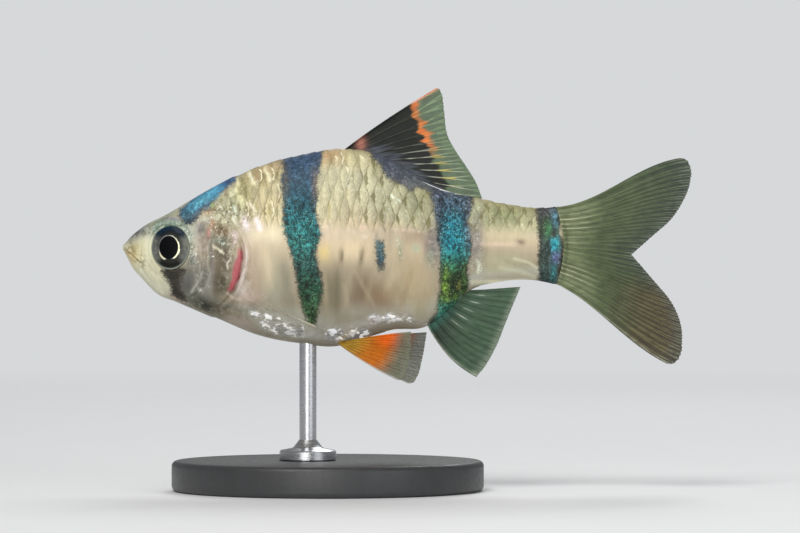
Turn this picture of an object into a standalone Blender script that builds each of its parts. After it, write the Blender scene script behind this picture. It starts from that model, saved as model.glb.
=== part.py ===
# Tiger barb, life size, swimming level, held by a plain display stand.
# The fish faces -X with its left side towards -Y. Metres, +Z up.
# Its shape is given in millimetres: x back from the snout tip, z up from the snout tip's level.

import math

import bmesh
import bpy
import numpy as np
from mathutils import Matrix

MM = 0.001

# Driving dimensions.
TOTAL_LENGTH = 60.0
AXIS_HEIGHT = 25.8
GAP = 0.3

# The back and the belly in the side view, and half the width seen from above.
BACK_OUTLINE = [
    (0.0, 0.25), (0.6, 0.98), (1.6, 1.85), (4.6, 3.5), (9.2, 6.2), (13.3, 8.25), (18.3, 9.7), (23.4, 10.45),
    (26.5, 10.0), (29.4, 8.55), (32.4, 6.5), (35.2, 5.55), (39.7, 4.5), (43.4, 4.08), (47.6, 4.45),
]
BELLY_OUTLINE = [
    (0.0, -0.5), (0.7, -2.0), (1.9, -3.45), (3.3, -4.9), (5.6, -5.92), (10.1, -7.85), (14.0, -9.45),
    (18.5, -10.35), (22.5, -10.65), (25.3, -9.85), (28.4, -8.95), (31.9, -8.6), (34.6, -6.55),
    (36.6, -4.75), (39.0, -4.0), (42.2, -3.62), (47.6, -4.6),
]
HALF_WIDTH = [
    (0.0, 0.42), (0.7, 1.0), (1.8, 1.55), (3.4, 2.15), (5.6, 2.8), (8.6, 3.55), (12.5, 4.15), (17.0, 4.4),
    (21.5, 4.35), (26.0, 4.0), (31.0, 3.25), (36.0, 2.35), (41.0, 1.6), (45.0, 1.15), (47.6, 0.75),
]
LEAST_WIDTH = 0.5

# How blunt a cross-section is below and above: 0.5 on both is an ellipse, more is sharper.
KEEL_POWER = 0.46
RIDGE_POWER_SNOUT = 0.5
RIDGE_POWER_BACK = 0.6
RIDGE_CHANGE_X = 20.0

# The gill opening, where the head ends, as (height, x). Heights run from 0 at the keel to 1 at the back.
GILL_EDGE = [
    (0.0, 8.6), (0.1, 9.9), (0.22, 11.3), (0.36, 12.25), (0.5, 12.5), (0.63, 11.75), (0.78, 10.3), (1.0, 9.6),
]
GILL_EDGE_X = 9.6
GILL_SLIT = 0.4

# The tail stalk and the arc at its end that carries the tail fin.
STALK_START_X = 37.4
STALK_END_X = 45.5
STALK_END_BULGE = 1.0

# Points round a cross-section, and cross-sections along each length of the body.
HEAD_AROUND, HEAD_RINGS = 48, 32
TRUNK_AROUND, TRUNK_RINGS = 36, 24
STALK_AROUND, STALK_RINGS = 28, 7
SNOUT_CROWDING = 1.3

# Eyes, nostrils, mouth and lips.
EYE_X = 4.95
EYE_Z = -0.2
EYE_RADIUS = 2.05
EYE_HALF_DEPTH = 1.15
EYE_STANDS_OUT = 0.4
ORBIT_RIM_HEIGHT = 0.16
ORBIT_RIM_WIDTH = 0.38
ORBIT_RIM_OFFSET = 0.25
NOSTRIL_X = 2.55
NOSTRIL_Z = 1.35
NOSTRIL_RADIUS = 0.27
MOUTH_FRONT = (0.0, -0.2)
MOUTH_CORNER = (1.55, -1.5)
JAW_HINGE = (2.15, -2.75)
CHIN_BACK = (3.0, -4.35)
LIP_HEIGHT = 0.13
LIP_WIDTH = 0.33

# Gill covers: plates let into pockets on the sides of the head, from their front edge, as
# (height, x), to the gill opening.
COVER_FRONT = [(0.1, 8.35), (0.25, 8.3), (0.42, 8.65), (0.55, 8.75), (0.7, 8.5), (0.78, 8.75)]
COVER_BOTTOM = 0.1
COVER_TOP = 0.78
COVER_RAISED = 0.14
COVER_THICK = 0.55
COVER_ROWS = 12
COVER_COLUMNS = 5
POCKET_OPENS_BY = 1.5

# Fins: the thickness of the membrane, of a ray's crest, of the root and of the outer edge.
MEMBRANE_THICK = 0.5
RAY_THICK = 0.78
FIN_ROOT_THICK = 0.95
FIN_EDGE_THICK = 0.3
ROOT_SHARE = 0.12
EDGE_SHARE = 0.2
RAY_SHARE = 0.34

# Each fin: its rays, the rows of points along a ray, its outer edge as (share across, x, z), and
# how far its first and its last ray bow, near the root and near the tip.
DORSAL_ROOT = (23.5, 32.4)
ANAL_ROOT = (32.1, 36.9)
PELVIC_ROOT = (22.5, 24.0)
PECTORAL_ROOT = [(0.0, 13.1, -5.75), (0.5, 13.15, -6.3), (1.0, 13.3, -6.85)]
FINS = {
    "dorsal_fin": {
        "rays": 11, "rows": 8, "bow": ((0.25, 0.15), (0.1, 0.0)),
        "edge": [
            (0.0, 33.2, 16.7), (0.1, 33.75, 15.0), (0.3, 34.1, 12.1), (0.5, 35.0, 10.2),
            (0.7, 36.2, 8.4), (0.87, 37.2, 6.9), (1.0, 37.75, 5.55),
        ],
    },
    "anal_fin": {
        "rays": 8, "rows": 7, "bow": ((-0.75, -0.85), (-0.05, 0.0)),
        "edge": [
            (0.0, 37.2, -13.8), (0.13, 38.05, -12.8), (0.35, 39.3, -10.6), (0.6, 40.3, -8.1),
            (0.82, 41.2, -5.9), (1.0, 41.9, -4.25),
        ],
    },
    "tail_fin_upper": {
        "rays": 10, "rows": 8, "bow": ((-1.25, 1.1), (0.0, 0.0)),
        "edge": [
            (0.0, 59.15, 9.3), (0.07, 59.9, 8.55), (0.2, 59.85, 6.9), (0.4, 59.1, 4.8),
            (0.6, 57.75, 2.8), (0.8, 55.9, 1.05), (1.0, 53.6, -0.62),
        ],
    },
    "tail_fin_lower": {
        "rays": 10, "rows": 8, "bow": ((0.75, -0.9), (0.0, 0.0)),
        "edge": [
            (0.0, 57.6, -12.5), (0.07, 58.55, -12.0), (0.2, 58.95, -10.3), (0.4, 58.75, -8.0),
            (0.6, 57.8, -5.9), (0.8, 55.9, -3.8), (1.0, 53.6, -1.1),
        ],
    },
    "pelvic_fin_left": {
        "rays": 8, "rows": 6, "bow": ((-0.3, -0.3), (0.1, 0.1)),
        "edge": [(0.0, 29.2, -14.1), (0.15, 29.75, -13.5), (0.5, 30.1, -11.9), (1.0, 30.3, -9.35)],
    },
    "pelvic_fin_right": {
        "rays": 8, "rows": 6, "bow": ((-0.3, -0.3), (0.1, 0.1)),
        "edge": [(0.0, 30.2, -14.6), (0.15, 30.9, -14.1), (0.5, 31.5, -12.2), (1.0, 31.9, -9.7)],
    },
    "pectoral_fin": {
        "rays": 10, "rows": 5, "bow": ((0.25, 0.2), (-0.1, 0.0)),
        "edge": [
            (0.0, 20.3, -8.3), (0.12, 20.45, -8.75), (0.45, 19.3, -9.6), (0.8, 17.6, -9.9), (1.0, 16.2, -9.7),
        ],
    },
}
PELVIC_ROOT_OUT = 1.3
PELVIC_SPREAD = {"left": 0.55, "right": 0.2}
PECTORAL_SPREAD = 0.2
TAIL_FORK_GAP = 0.015
TAIL_ROOT_SHARE = 0.97

# Stand.
BASE_RADIUS = 16.5
BASE_HEIGHT = 3.2
BASE_EDGE = 0.6
BASE_X = -8.5
ROD_FROM_SNOUT = 19.4
ROD_RADIUS = 0.9
ROD_NECK_RADIUS = 1.5
ROD_FOOT_RADIUS = 3.0
ROD_FOOT_HEIGHT = 0.8
ROD_NECK_HEIGHT = 1.0
ROD_TAPER_HEIGHT = 1.9
ROD_INTO_BELLY = 2.0

# Colour, roughness and metallic value of each finish.
FINISHES = {
    "skin": ((0.62, 0.57, 0.38, 1.0), 0.32, 0.1),
    "gill_cover": ((0.30, 0.28, 0.24, 1.0), 0.25, 0.25),
    "eye": ((0.02, 0.022, 0.02, 1.0), 0.08, 0.0),
    "dark_fin": ((0.16, 0.10, 0.07, 1.0), 0.4, 0.0),
    "red_fin": ((0.62, 0.16, 0.03, 1.0), 0.4, 0.0),
    "clear_fin": ((0.30, 0.32, 0.22, 1.0), 0.35, 0.0),
    "painted_base": ((0.03, 0.03, 0.032, 1.0), 0.45, 0.0),
    "bare_steel": ((0.55, 0.56, 0.58, 1.0), 0.3, 1.0),
}


# Curves and the body's surface

def blend(a, b, t):
    return a + (b - a) * t


def smooth_line(points):
    """A function through the points, with no kinks."""
    places = np.array([p[0] for p in points], float)
    values = np.array([p[1] for p in points], float)
    slopes = np.gradient(values, places)

    def value(at):
        i = int(np.clip(np.searchsorted(places, at) - 1, 0, len(places) - 2))
        step = places[i + 1] - places[i]
        t = min(max((at - places[i]) / step, 0.0), 1.0)
        start = (1 + 2 * t) * (1 - t) ** 2 * values[i] + t * t * (3 - 2 * t) * values[i + 1]
        turn = t * (1 - t) ** 2 * slopes[i] - t * t * (1 - t) * slopes[i + 1]
        return float(start + step * turn)

    return value


def smooth_curve(points):
    """A curve in the side view through points given as (share along it, x, z)."""
    x_at = smooth_line([(p[0], p[1]) for p in points])
    z_at = smooth_line([(p[0], p[2]) for p in points])
    return lambda s: (x_at(s), z_at(s))


back_at = smooth_line(BACK_OUTLINE)
belly_at = smooth_line(BELLY_OUTLINE)
width_at = smooth_line(HALF_WIDTH)
gill_edge_at = smooth_line(GILL_EDGE)
cover_front_at = smooth_line(COVER_FRONT)


def to_world(x, y, z):
    """A point of the fish, in millimetres from the snout tip, in the part's frame."""
    return ((x - TOTAL_LENGTH / 2) * MM, y * MM, (z + AXIS_HEIGHT) * MM)


def ridge_power(x):
    return blend(RIDGE_POWER_SNOUT, RIDGE_POWER_BACK, min(max(x / RIDGE_CHANGE_X, 0.0), 1.0))


def section_width(x, height):
    """Half the body's width at a height from 0, the keel, to 1, the back."""
    power = ridge_power(x)
    widest = KEEL_POWER / (KEEL_POWER + power)
    height = min(max(height, 0.0), 1.0)
    below = (height / widest) ** KEEL_POWER
    above = ((1 - height) / (1 - widest)) ** power
    return width_at(x) * below * above


def width_at_point(x, z):
    """Half the body's width at a point of the side view, or 0 outside the outline."""
    low, high = belly_at(x), back_at(x)
    if not low < z < high:
        return 0.0
    return section_width(x, (z - low) / (high - low))


def underside_at(x, out):
    """How high the underside of the body is at a distance out from the middle plane."""
    low, high = 0.0, KEEL_POWER / (KEEL_POWER + ridge_power(x))
    for _ in range(30):
        middle = (low + high) / 2
        if section_width(x, middle) < out:
            low = middle
        else:
            high = middle
    return blend(belly_at(x), back_at(x), low)


def distance_to_segment(point, start, end):
    px, pz = point[0] - start[0], point[1] - start[1]
    dx, dz = end[0] - start[0], end[1] - start[1]
    along = min(max((px * dx + pz * dz) / (dx * dx + dz * dz), 0.0), 1.0)
    return math.hypot(px - along * dx, pz - along * dz)


def head_relief(x, z):
    """How far the lips and the rim round the eye stand out of the head's side."""
    from_rim = math.hypot(x - EYE_X, z - EYE_Z) - EYE_RADIUS - ORBIT_RIM_OFFSET
    rim = ORBIT_RIM_HEIGHT * math.exp(-((from_rim / ORBIT_RIM_WIDTH) ** 2))
    from_mouth = distance_to_segment((x, z), MOUTH_FRONT, MOUTH_CORNER)
    lips = LIP_HEIGHT * math.exp(-((from_mouth / LIP_WIDTH) ** 2))
    return rim + lips


def body_point(x, turn, swell):
    """A point of the skin. turn runs from 0 at the back, down the left side, round to 2 pi."""
    height = (1 + math.cos(turn)) / 2
    low, high = belly_at(x) - swell, back_at(x) + swell
    z = blend(low, high, height)
    half = section_width(x, height) * (1 + swell / max(width_at(x), LEAST_WIDTH))
    side = math.copysign(1.0, -math.sin(turn)) if abs(math.sin(turn)) > 1e-6 else 0.0
    relief = head_relief(x, z) if x < GILL_EDGE_X else 0.0
    return to_world(x, side * (half + relief * min(half, 1.0)), z)


def gill_edge_shift(height):
    return gill_edge_at(height) - GILL_EDGE_X


def stalk_end_shift(height):
    return STALK_END_BULGE * (1 - (2 * height - 1) ** 2)


# Objects, meshes and cutters

def make_material(name, finish):
    colour, rough, metallic = FINISHES[finish]
    material = bpy.data.materials.new(name)
    material.use_nodes = True
    shader = material.node_tree.nodes["Principled BSDF"]
    shader.inputs["Base Color"].default_value = colour
    shader.inputs["Roughness"].default_value = rough
    shader.inputs["Metallic"].default_value = metallic
    material.diffuse_color = colour
    return material


def new_object(name, mesh, finish, collection):
    obj = bpy.data.objects.new(name, mesh)
    collection.objects.link(obj)
    if finish:
        obj.data.materials.append(make_material(name, finish))
    return obj


def mesh_from(name, points, faces):
    mesh = bpy.data.meshes.new(name)
    mesh.from_pydata(points, [], faces)
    work = bmesh.new()
    work.from_mesh(mesh)
    bmesh.ops.remove_doubles(work, verts=work.verts, dist=1e-7)
    bmesh.ops.recalc_face_normals(work, faces=work.faces)
    work.to_mesh(mesh)
    work.free()
    mesh.shade_smooth()
    mesh.set_sharp_from_angle(angle=math.radians(50))
    return mesh


def as_cutter(obj):
    obj.hide_render = True
    obj.display_type = "WIRE"
    return obj


def cut(obj, cutter, operation="DIFFERENCE"):
    modifier = obj.modifiers.new(operation.lower() + "_" + cutter.name, "BOOLEAN")
    modifier.operation = operation
    modifier.object = cutter
    modifier.solver = "EXACT"


def prism(name, outline, half_depth, collection):
    """A cutter: an outline of the side view carried across the fish."""
    count = len(outline)
    points = [to_world(x, y, z) for y in (-half_depth, half_depth) for x, z in outline]
    faces = [tuple(range(count)), tuple(range(count, 2 * count))[::-1]]
    faces += [(k, (k + 1) % count, count + (k + 1) % count, count + k) for k in range(count)]
    return as_cutter(new_object(name, mesh_from(name, points, faces), None, collection))


def ball(name, centre, radii, segments, finish, collection):
    """An ellipsoid with its poles on the Y axis, from a primitive sphere."""
    mesh = bpy.data.meshes.new(name)
    work = bmesh.new()
    bmesh.ops.create_uvsphere(work, u_segments=segments, v_segments=segments // 2, radius=1.0)
    bmesh.ops.rotate(work, verts=work.verts, matrix=Matrix.Rotation(math.pi / 2, 3, "X"))
    bmesh.ops.scale(work, verts=work.verts, vec=[r * MM for r in radii])
    bmesh.ops.translate(work, verts=work.verts, vec=to_world(*centre))
    work.to_mesh(mesh)
    work.free()
    mesh.shade_smooth()
    return new_object(name, mesh, finish, collection)


def sheet_faces(rows, columns):
    """Triangles of a closed plate: two sheets of (rows + 1) x (columns + 1) points, split alike."""
    sheet = (rows + 1) * (columns + 1)

    def at(face, row, column):
        return face * sheet + row * (columns + 1) + column

    faces = []
    for face in (0, 1):
        for i in range(rows):
            for j in range(columns):
                a, b = at(face, i, j), at(face, i + 1, j)
                c, d = at(face, i + 1, j + 1), at(face, i, j + 1)
                faces += [(a, b, c), (a, c, d)]
    rim = [(0, j) for j in range(columns)]
    rim += [(i, columns) for i in range(rows)]
    rim += [(rows, j) for j in range(columns, 0, -1)]
    rim += [(i, 0) for i in range(rows, 0, -1)]
    for k, here in enumerate(rim):
        there = rim[(k + 1) % len(rim)]
        a, b, c, d = at(0, *here), at(0, *there), at(1, *there), at(1, *here)
        faces += [(a, b, c), (a, c, d)]
    return faces


# Lengths of the body

def loft(name, places, around, swell=0.0):
    """A closed length of the body. places gives each ring's x as a function of the height."""
    points, faces = [], []
    turns = [2 * math.pi * k / around for k in range(around)]
    for place in places:
        points += [body_point(place((1 + math.cos(t)) / 2), t, swell) for t in turns]
    for ring in range(len(places) - 1):
        for k in range(around):
            a, b = ring * around + k, ring * around + (k + 1) % around
            faces += [(a, b, b + around), (a, b + around, a + around)]
    faces += cap_faces(0, around) + cap_faces((len(places) - 1) * around, around)
    return mesh_from(name, points, faces)


def cap_faces(first, around):
    """Strips between the two sides of a ring, each at one height, so that the end keeps its curve."""
    half = around // 2
    faces = [(first, first + 1, first + around - 1)]
    for k in range(1, half - 1):
        a, b, c, d = first + k, first + k + 1, first + around - k - 1, first + around - k
        faces += [(a, b, c), (a, c, d)]
    return faces + [(first + half - 1, first + half, first + half + 1)]


def ring_place(x, share, shift):
    """A ring at x that is carried back by a share of the shift at each height."""
    return lambda height: x + share * shift(height)


def head_places():
    """Rings of the head, closer together at the snout, bulging to the gill opening's curve."""
    steps = [k / (HEAD_RINGS - 1) for k in range(HEAD_RINGS)]
    return [ring_place(GILL_EDGE_X * t**SNOUT_CROWDING, t * t, gill_edge_shift) for t in steps]


def trunk_places():
    """Rings of the trunk, from behind the gill opening's curve to the flat end at the tail stalk."""
    start, end = GILL_EDGE_X + GILL_SLIT, STALK_START_X - GAP
    steps = [k / (TRUNK_RINGS - 1) for k in range(TRUNK_RINGS)]
    return [ring_place(blend(start, end, t), (1 - t) ** 2, gill_edge_shift) for t in steps]


def stalk_places():
    """Rings of the tail stalk, bulging to the arc that carries the tail fin."""
    steps = [k / (STALK_RINGS - 1) for k in range(STALK_RINGS)]
    return [ring_place(blend(STALK_START_X, STALK_END_X, t), t * t, stalk_end_shift) for t in steps]


# Head

def eye_centre(side):
    surface = width_at_point(EYE_X, EYE_Z)
    return (EYE_X, side * (surface + EYE_STANDS_OUT - EYE_HALF_DEPTH), EYE_Z)


def cover_point(height, share, wider, outward, side):
    """A point of a gill cover's plate, share running from its front edge to the gill opening."""
    x = blend(cover_front_at(height) - wider, gill_edge_at(height) + 2 * wider, share)
    z = blend(belly_at(x), back_at(x), height)
    return to_world(x, side * (section_width(x, height) + outward), z)


def cover_plate(name, side, wider, inner, outer, finish, collection):
    """A curved plate on the head's side, widened all round by a distance."""
    higher = wider / (back_at(GILL_EDGE_X) - belly_at(GILL_EDGE_X))
    rows = np.linspace(COVER_TOP + higher, COVER_BOTTOM - higher, COVER_ROWS + 1)
    columns = np.linspace(0.0, 1.0, COVER_COLUMNS + 1)
    points = [cover_point(h, u, wider, out, side) for out in (inner, outer) for h in rows for u in columns]
    mesh = mesh_from(name, points, sheet_faces(COVER_ROWS, COVER_COLUMNS))
    return new_object(name, mesh, finish, collection)


def jaw_outline(by):
    """The lower jaw in the side view: below the mouth line and in front of its hinge."""
    in_front, below = -1.5, -6.5
    return [
        (in_front, 0.35 + by), (MOUTH_FRONT[0], MOUTH_FRONT[1] + by),
        (MOUTH_CORNER[0] + by, MOUTH_CORNER[1] + by), (JAW_HINGE[0] + by, JAW_HINGE[1]),
        (CHIN_BACK[0] + by, CHIN_BACK[1]), (CHIN_BACK[0] + by + 0.3, below), (in_front, below),
    ]


def make_head(nodes, cutters):
    """The head, with sockets for the eyes, nostrils, and room for the gill covers and lower jaw."""
    head = new_object("head", loft("head", head_places(), HEAD_AROUND), "skin", nodes)
    for side, word in ((-1, "left"), (1, "right")):
        radii = (EYE_RADIUS + GAP, EYE_HALF_DEPTH + GAP, EYE_RADIUS + GAP)
        cut(head, as_cutter(ball("socket_" + word, eye_centre(side), radii, 24, None, cutters)))
        pit = (NOSTRIL_RADIUS * 1.25, NOSTRIL_RADIUS, NOSTRIL_RADIUS)
        place = (NOSTRIL_X, side * width_at_point(NOSTRIL_X, NOSTRIL_Z), NOSTRIL_Z)
        cut(head, as_cutter(ball("nostril_" + word, place, pit, 12, None, cutters)))
        pocket = cover_plate("pocket_" + word, side, GAP, -COVER_THICK - GAP, POCKET_OPENS_BY, None, cutters)
        cut(head, as_cutter(pocket))
    cut(head, prism("jaw_room", jaw_outline(GAP), 4.0, cutters))


def make_lower_jaw(nodes, cutters):
    jaw = new_object("lower_jaw", loft("lower_jaw", head_places(), HEAD_AROUND), "skin", nodes)
    cut(jaw, prism("jaw_region", jaw_outline(0.0), 4.0, cutters), "INTERSECT")


# Fins

def ray_point(root, edge, bow, s, t):
    """A point in the side view: s across the rays, t from the root to the outer edge."""
    (x0, z0), (x1, z1) = root(s), edge(s)
    length = math.hypot(x1 - x0, z1 - z0)
    across = ((z0 - z1) / length, (x1 - x0) / length)
    near, far = blend(bow[0][0], bow[1][0], s), blend(bow[0][1], bow[1][1], s)
    out = 3 * t * (1 - t) * ((1 - t) * near + t * far)
    return (blend(x0, x1, t) + across[0] * out, blend(z0, z1, t) + across[1] * out)


def ray_columns(rays):
    """Where the columns of points lie across the fin, and whether each is on a ray's crest."""
    pitch = 1.0 / (rays - 1)
    columns = [(0.0, True), (pitch * RAY_SHARE / 2, True)]
    for k in range(1, rays):
        columns += [((k - 0.5) * pitch, False), ((k - RAY_SHARE / 2) * pitch, True)]
        if k < rays - 1:
            columns.append(((k + RAY_SHARE / 2) * pitch, True))
    return columns + [(1.0, True)]


def fin_thickness(t, crest):
    """A fin's thickness from root to edge, with its rays raised out of both faces."""
    full = RAY_THICK if crest else MEMBRANE_THICK
    if t < ROOT_SHARE:
        return blend(FIN_ROOT_THICK, full, t / ROOT_SHARE)
    return blend(full, FIN_EDGE_THICK, max(t - 1 + EDGE_SHARE, 0.0) / EDGE_SHARE)


def make_fin(name, shape, root, out_at, finish, nodes):
    """One closed membrane with its rays raised as ridges. out_at gives its y at a side-view point."""
    edge, columns = smooth_curve(shape["edge"]), ray_columns(shape["rays"])
    points = []
    for face_side in (-1, 1):
        for s, crest in columns:
            for row in range(shape["rows"] + 1):
                t = row / shape["rows"]
                x, z = ray_point(root, edge, shape["bow"], s, t)
                points.append(to_world(x, out_at(x, z) + face_side * fin_thickness(t, crest) / 2, z))
    mesh = mesh_from(name, points, sheet_faces(len(columns) - 1, shape["rows"]))
    return new_object(name, mesh, finish, nodes)


def in_middle(x, z):
    return 0.0


def beside_body(side, spread, root_out, root_x):
    """A paired fin leans outward from its root, and keeps clear of the body."""

    def out_at(x, z):
        leaning = root_out + spread * max(x - root_x, 0.0)
        return side * max(leaning, width_at_point(x, z) + GAP + FIN_ROOT_THICK / 2)

    return out_at


def outline_root(outline, ends, clearance):
    """A root just off the back (clearance above 0) or the belly (below 0)."""

    def root(s):
        x = blend(*ends, s)
        return (x, outline(x) + clearance)

    return root


def tail_root(upper):
    """The root of a lobe of the tail fin, on the arc at the end of the tail stalk."""
    outer, inner = (1.0, 0.5 + TAIL_FORK_GAP) if upper else (0.0, 0.5 - TAIL_FORK_GAP)

    def root(s):
        height = blend(outer, inner, s)
        x = STALK_END_X + stalk_end_shift(height) + GAP
        return (x, blend(belly_at(x), back_at(x), height) * TAIL_ROOT_SHARE)

    return root


def pelvic_root(s):
    x = blend(*PELVIC_ROOT, s)
    return (x, underside_at(x, PELVIC_ROOT_OUT) - GAP)


def make_paired_fins(side, word, nodes):
    name = "pelvic_fin_" + word
    out_at = beside_body(side, PELVIC_SPREAD[word], PELVIC_ROOT_OUT, PELVIC_ROOT[0])
    make_fin(name, FINS[name], pelvic_root, out_at, "red_fin", nodes)
    root = smooth_curve(PECTORAL_ROOT)
    root_x, root_z = root(0.5)
    root_out = width_at_point(root_x, root_z) + GAP + FIN_ROOT_THICK / 2
    out_at = beside_body(side, PECTORAL_SPREAD, root_out, root_x)
    make_fin("pectoral_fin_" + word, FINS["pectoral_fin"], root, out_at, "clear_fin", nodes)


def make_middle_fins(nodes):
    root = outline_root(back_at, DORSAL_ROOT, GAP)
    make_fin("dorsal_fin", FINS["dorsal_fin"], root, in_middle, "dark_fin", nodes)
    root = outline_root(belly_at, ANAL_ROOT, -GAP)
    make_fin("anal_fin", FINS["anal_fin"], root, in_middle, "clear_fin", nodes)
    for name in ("tail_fin_upper", "tail_fin_lower"):
        make_fin(name, FINS[name], tail_root(name.endswith("upper")), in_middle, "clear_fin", nodes)


# Stand

def make_base(nodes):
    """A round plate with softened edges."""
    mesh = bpy.data.meshes.new("stand_base")
    work = bmesh.new()
    radius = BASE_RADIUS * MM
    bmesh.ops.create_cone(
        work, cap_ends=True, segments=48, radius1=radius, radius2=radius, depth=BASE_HEIGHT * MM
    )
    work.to_mesh(mesh)
    work.free()
    mesh.shade_smooth()
    mesh.set_sharp_from_angle(angle=math.radians(40))
    base = new_object("stand_base", mesh, "painted_base", nodes)
    base.location = (BASE_X * MM, 0.0, BASE_HEIGHT * MM / 2)
    edge = base.modifiers.new("edge", "BEVEL")
    edge.width = BASE_EDGE * MM
    edge.segments = 2
    edge.limit_method = "ANGLE"


def make_rod(nodes, cutters):
    """A turned rod on a small foot, its top shaped to the belly."""
    bottom = BASE_HEIGHT + GAP
    top = AXIS_HEIGHT + belly_at(ROD_FROM_SNOUT) + ROD_INTO_BELLY
    profile = [
        (0.0, top), (ROD_RADIUS, top), (ROD_RADIUS, bottom + ROD_TAPER_HEIGHT),
        (ROD_NECK_RADIUS, bottom + ROD_NECK_HEIGHT), (ROD_FOOT_RADIUS, bottom + ROD_FOOT_HEIGHT),
        (ROD_FOOT_RADIUS, bottom), (0.0, bottom),
    ]
    mesh = bpy.data.meshes.new("stand_rod")
    points = [(radius * MM, 0.0, height * MM) for radius, height in profile]
    mesh.from_pydata(points, [(k, k + 1) for k in range(len(profile) - 1)], [])
    rod = new_object("stand_rod", mesh, "bare_steel", nodes)
    rod.location = (to_world(ROD_FROM_SNOUT, 0, 0)[0], 0.0, 0.0)
    turn = rod.modifiers.new("turn", "SCREW")
    turn.steps = turn.render_steps = 20
    turn.use_merge_vertices = True
    turn.merge_threshold = 1e-5
    places = [ring_place(x, 0.0, stalk_end_shift) for x in np.linspace(15.0, 24.0, 13)]
    belly = new_object("belly_seat", loft("belly_seat", places, TRUNK_AROUND, GAP), None, cutters)
    cut(rod, as_cutter(belly))


def new_collection(name):
    collection = bpy.data.collections.new(name)
    bpy.context.scene.collection.children.link(collection)
    return collection


def main():
    for old in list(bpy.data.objects):
        bpy.data.objects.remove(old)
    nodes, cutters = new_collection("tiger_barb"), new_collection("cutters")
    make_head(nodes, cutters)
    make_lower_jaw(nodes, cutters)
    new_object("trunk", loft("trunk", trunk_places(), TRUNK_AROUND), "skin", nodes)
    new_object("tail_stalk", loft("tail_stalk", stalk_places(), STALK_AROUND), "skin", nodes)
    for side, word in ((-1, "left"), (1, "right")):
        cover_plate("gill_cover_" + word, side, 0.0, -COVER_THICK, COVER_RAISED, "gill_cover", nodes)
        radii = (EYE_RADIUS, EYE_HALF_DEPTH, EYE_RADIUS)
        ball("eye_" + word, eye_centre(side), radii, 20, "eye", nodes)
        make_paired_fins(side, word, nodes)
    make_middle_fins(nodes)
    make_base(nodes)
    make_rod(nodes, cutters)


main()
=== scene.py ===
import math

import bpy
import numpy as np
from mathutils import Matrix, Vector


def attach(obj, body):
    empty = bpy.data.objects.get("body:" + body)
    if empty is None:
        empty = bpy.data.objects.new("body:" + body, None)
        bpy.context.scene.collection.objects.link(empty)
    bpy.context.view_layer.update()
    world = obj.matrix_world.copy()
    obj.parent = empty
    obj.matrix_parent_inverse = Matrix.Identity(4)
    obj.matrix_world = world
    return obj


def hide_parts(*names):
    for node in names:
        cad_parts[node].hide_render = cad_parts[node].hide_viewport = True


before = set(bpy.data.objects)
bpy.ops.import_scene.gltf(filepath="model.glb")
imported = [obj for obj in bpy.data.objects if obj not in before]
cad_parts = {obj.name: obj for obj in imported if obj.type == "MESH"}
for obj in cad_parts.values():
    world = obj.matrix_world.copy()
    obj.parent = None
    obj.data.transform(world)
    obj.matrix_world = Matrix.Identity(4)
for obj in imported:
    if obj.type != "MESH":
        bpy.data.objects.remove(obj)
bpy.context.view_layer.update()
print("frame loaded with", len(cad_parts), "solids")

# The fish is drawn in millimetres: x back from the snout tip, z up from its level, y out to each
# side. Heights run from 0 at the keel to 1 at the back.
body = {
    "snoutX": -30.0,
    "axisHeight": 25.8,
    "back": [
        (0.0, 0.25), (0.6, 0.98), (1.6, 1.85), (4.6, 3.5), (9.2, 6.2), (13.3, 8.25), (18.3, 9.7),
        (23.4, 10.45),
        (26.5, 10.0), (29.4, 8.55), (32.4, 6.5), (35.2, 5.62), (38.0, 5.15), (40.2, 4.68), (43.4, 4.2),
        (47.6, 4.5),
    ],
    "belly": [
        (0.0, -0.5), (0.7, -2.0), (1.9, -3.45), (3.3, -4.9), (5.6, -5.92), (10.1, -7.85), (14.0, -9.45),
        (18.5, -10.35), (22.5, -10.65), (25.3, -9.85), (28.4, -8.95), (31.9, -8.6), (34.6, -6.55),
        (36.6, -4.75), (39.0, -4.0), (42.2, -3.62), (47.6, -4.6),
    ],
    "halfWidth": [
        (0.0, 0.42), (0.7, 1.0), (1.8, 1.55), (3.4, 2.15), (5.6, 2.8), (8.6, 3.55), (12.5, 4.15),
        (17.0, 4.4),
        (21.5, 4.35), (26.0, 4.0), (31.0, 3.25), (36.0, 2.35), (41.0, 1.6), (45.0, 1.15), (47.6, 0.75),
    ],
    "keelPower": 0.46,
    "ridgePower": (0.5, 0.6),
    "ridgeChangeX": 20.0,
    "gillEdge": [
        (0.0, 8.6), (0.1, 9.9), (0.22, 11.3), (0.36, 12.25), (0.5, 12.5), (0.63, 11.75), (0.78, 10.3),
        (1.0, 9.6),
    ],
    "lateralLine": [
        (9.0, 2.2), (12.0, 1.9), (20.0, 1.55), (28.0, 1.3), (36.0, 0.55), (45.0, 0.15), (48.0, 0.1),
    ],
    "stalkEnd": 45.5, "endBulge": 1.0, "skinEnd": (44.9, 45.9), "endShrink": 0.96,
}


def smoothLine(points):
    # a function through the points, with no kinks
    places, values = np.array(points, float).T
    slopes = np.gradient(values, places)

    def value(at):
        at = np.clip(at, places[0], places[-1])
        i = np.clip(np.searchsorted(places, at) - 1, 0, len(places) - 2)
        step = places[i + 1] - places[i]
        t = (at - places[i]) / step
        start = (1 + 2 * t) * (1 - t) ** 2 * values[i] + t * t * (3 - 2 * t) * values[i + 1]
        return start + step * (t * (1 - t) ** 2 * slopes[i] - t * t * (1 - t) * slopes[i + 1])

    return value


def smoothStep(low, high, value):
    t = np.clip((value - low) / (high - low), 0.0, 1.0)
    return t * t * (3 - 2 * t)


def mix(a, b, t):
    return a + (b - a) * t


def bump(value, width):
    return np.exp(-((value / width) ** 2))


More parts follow.
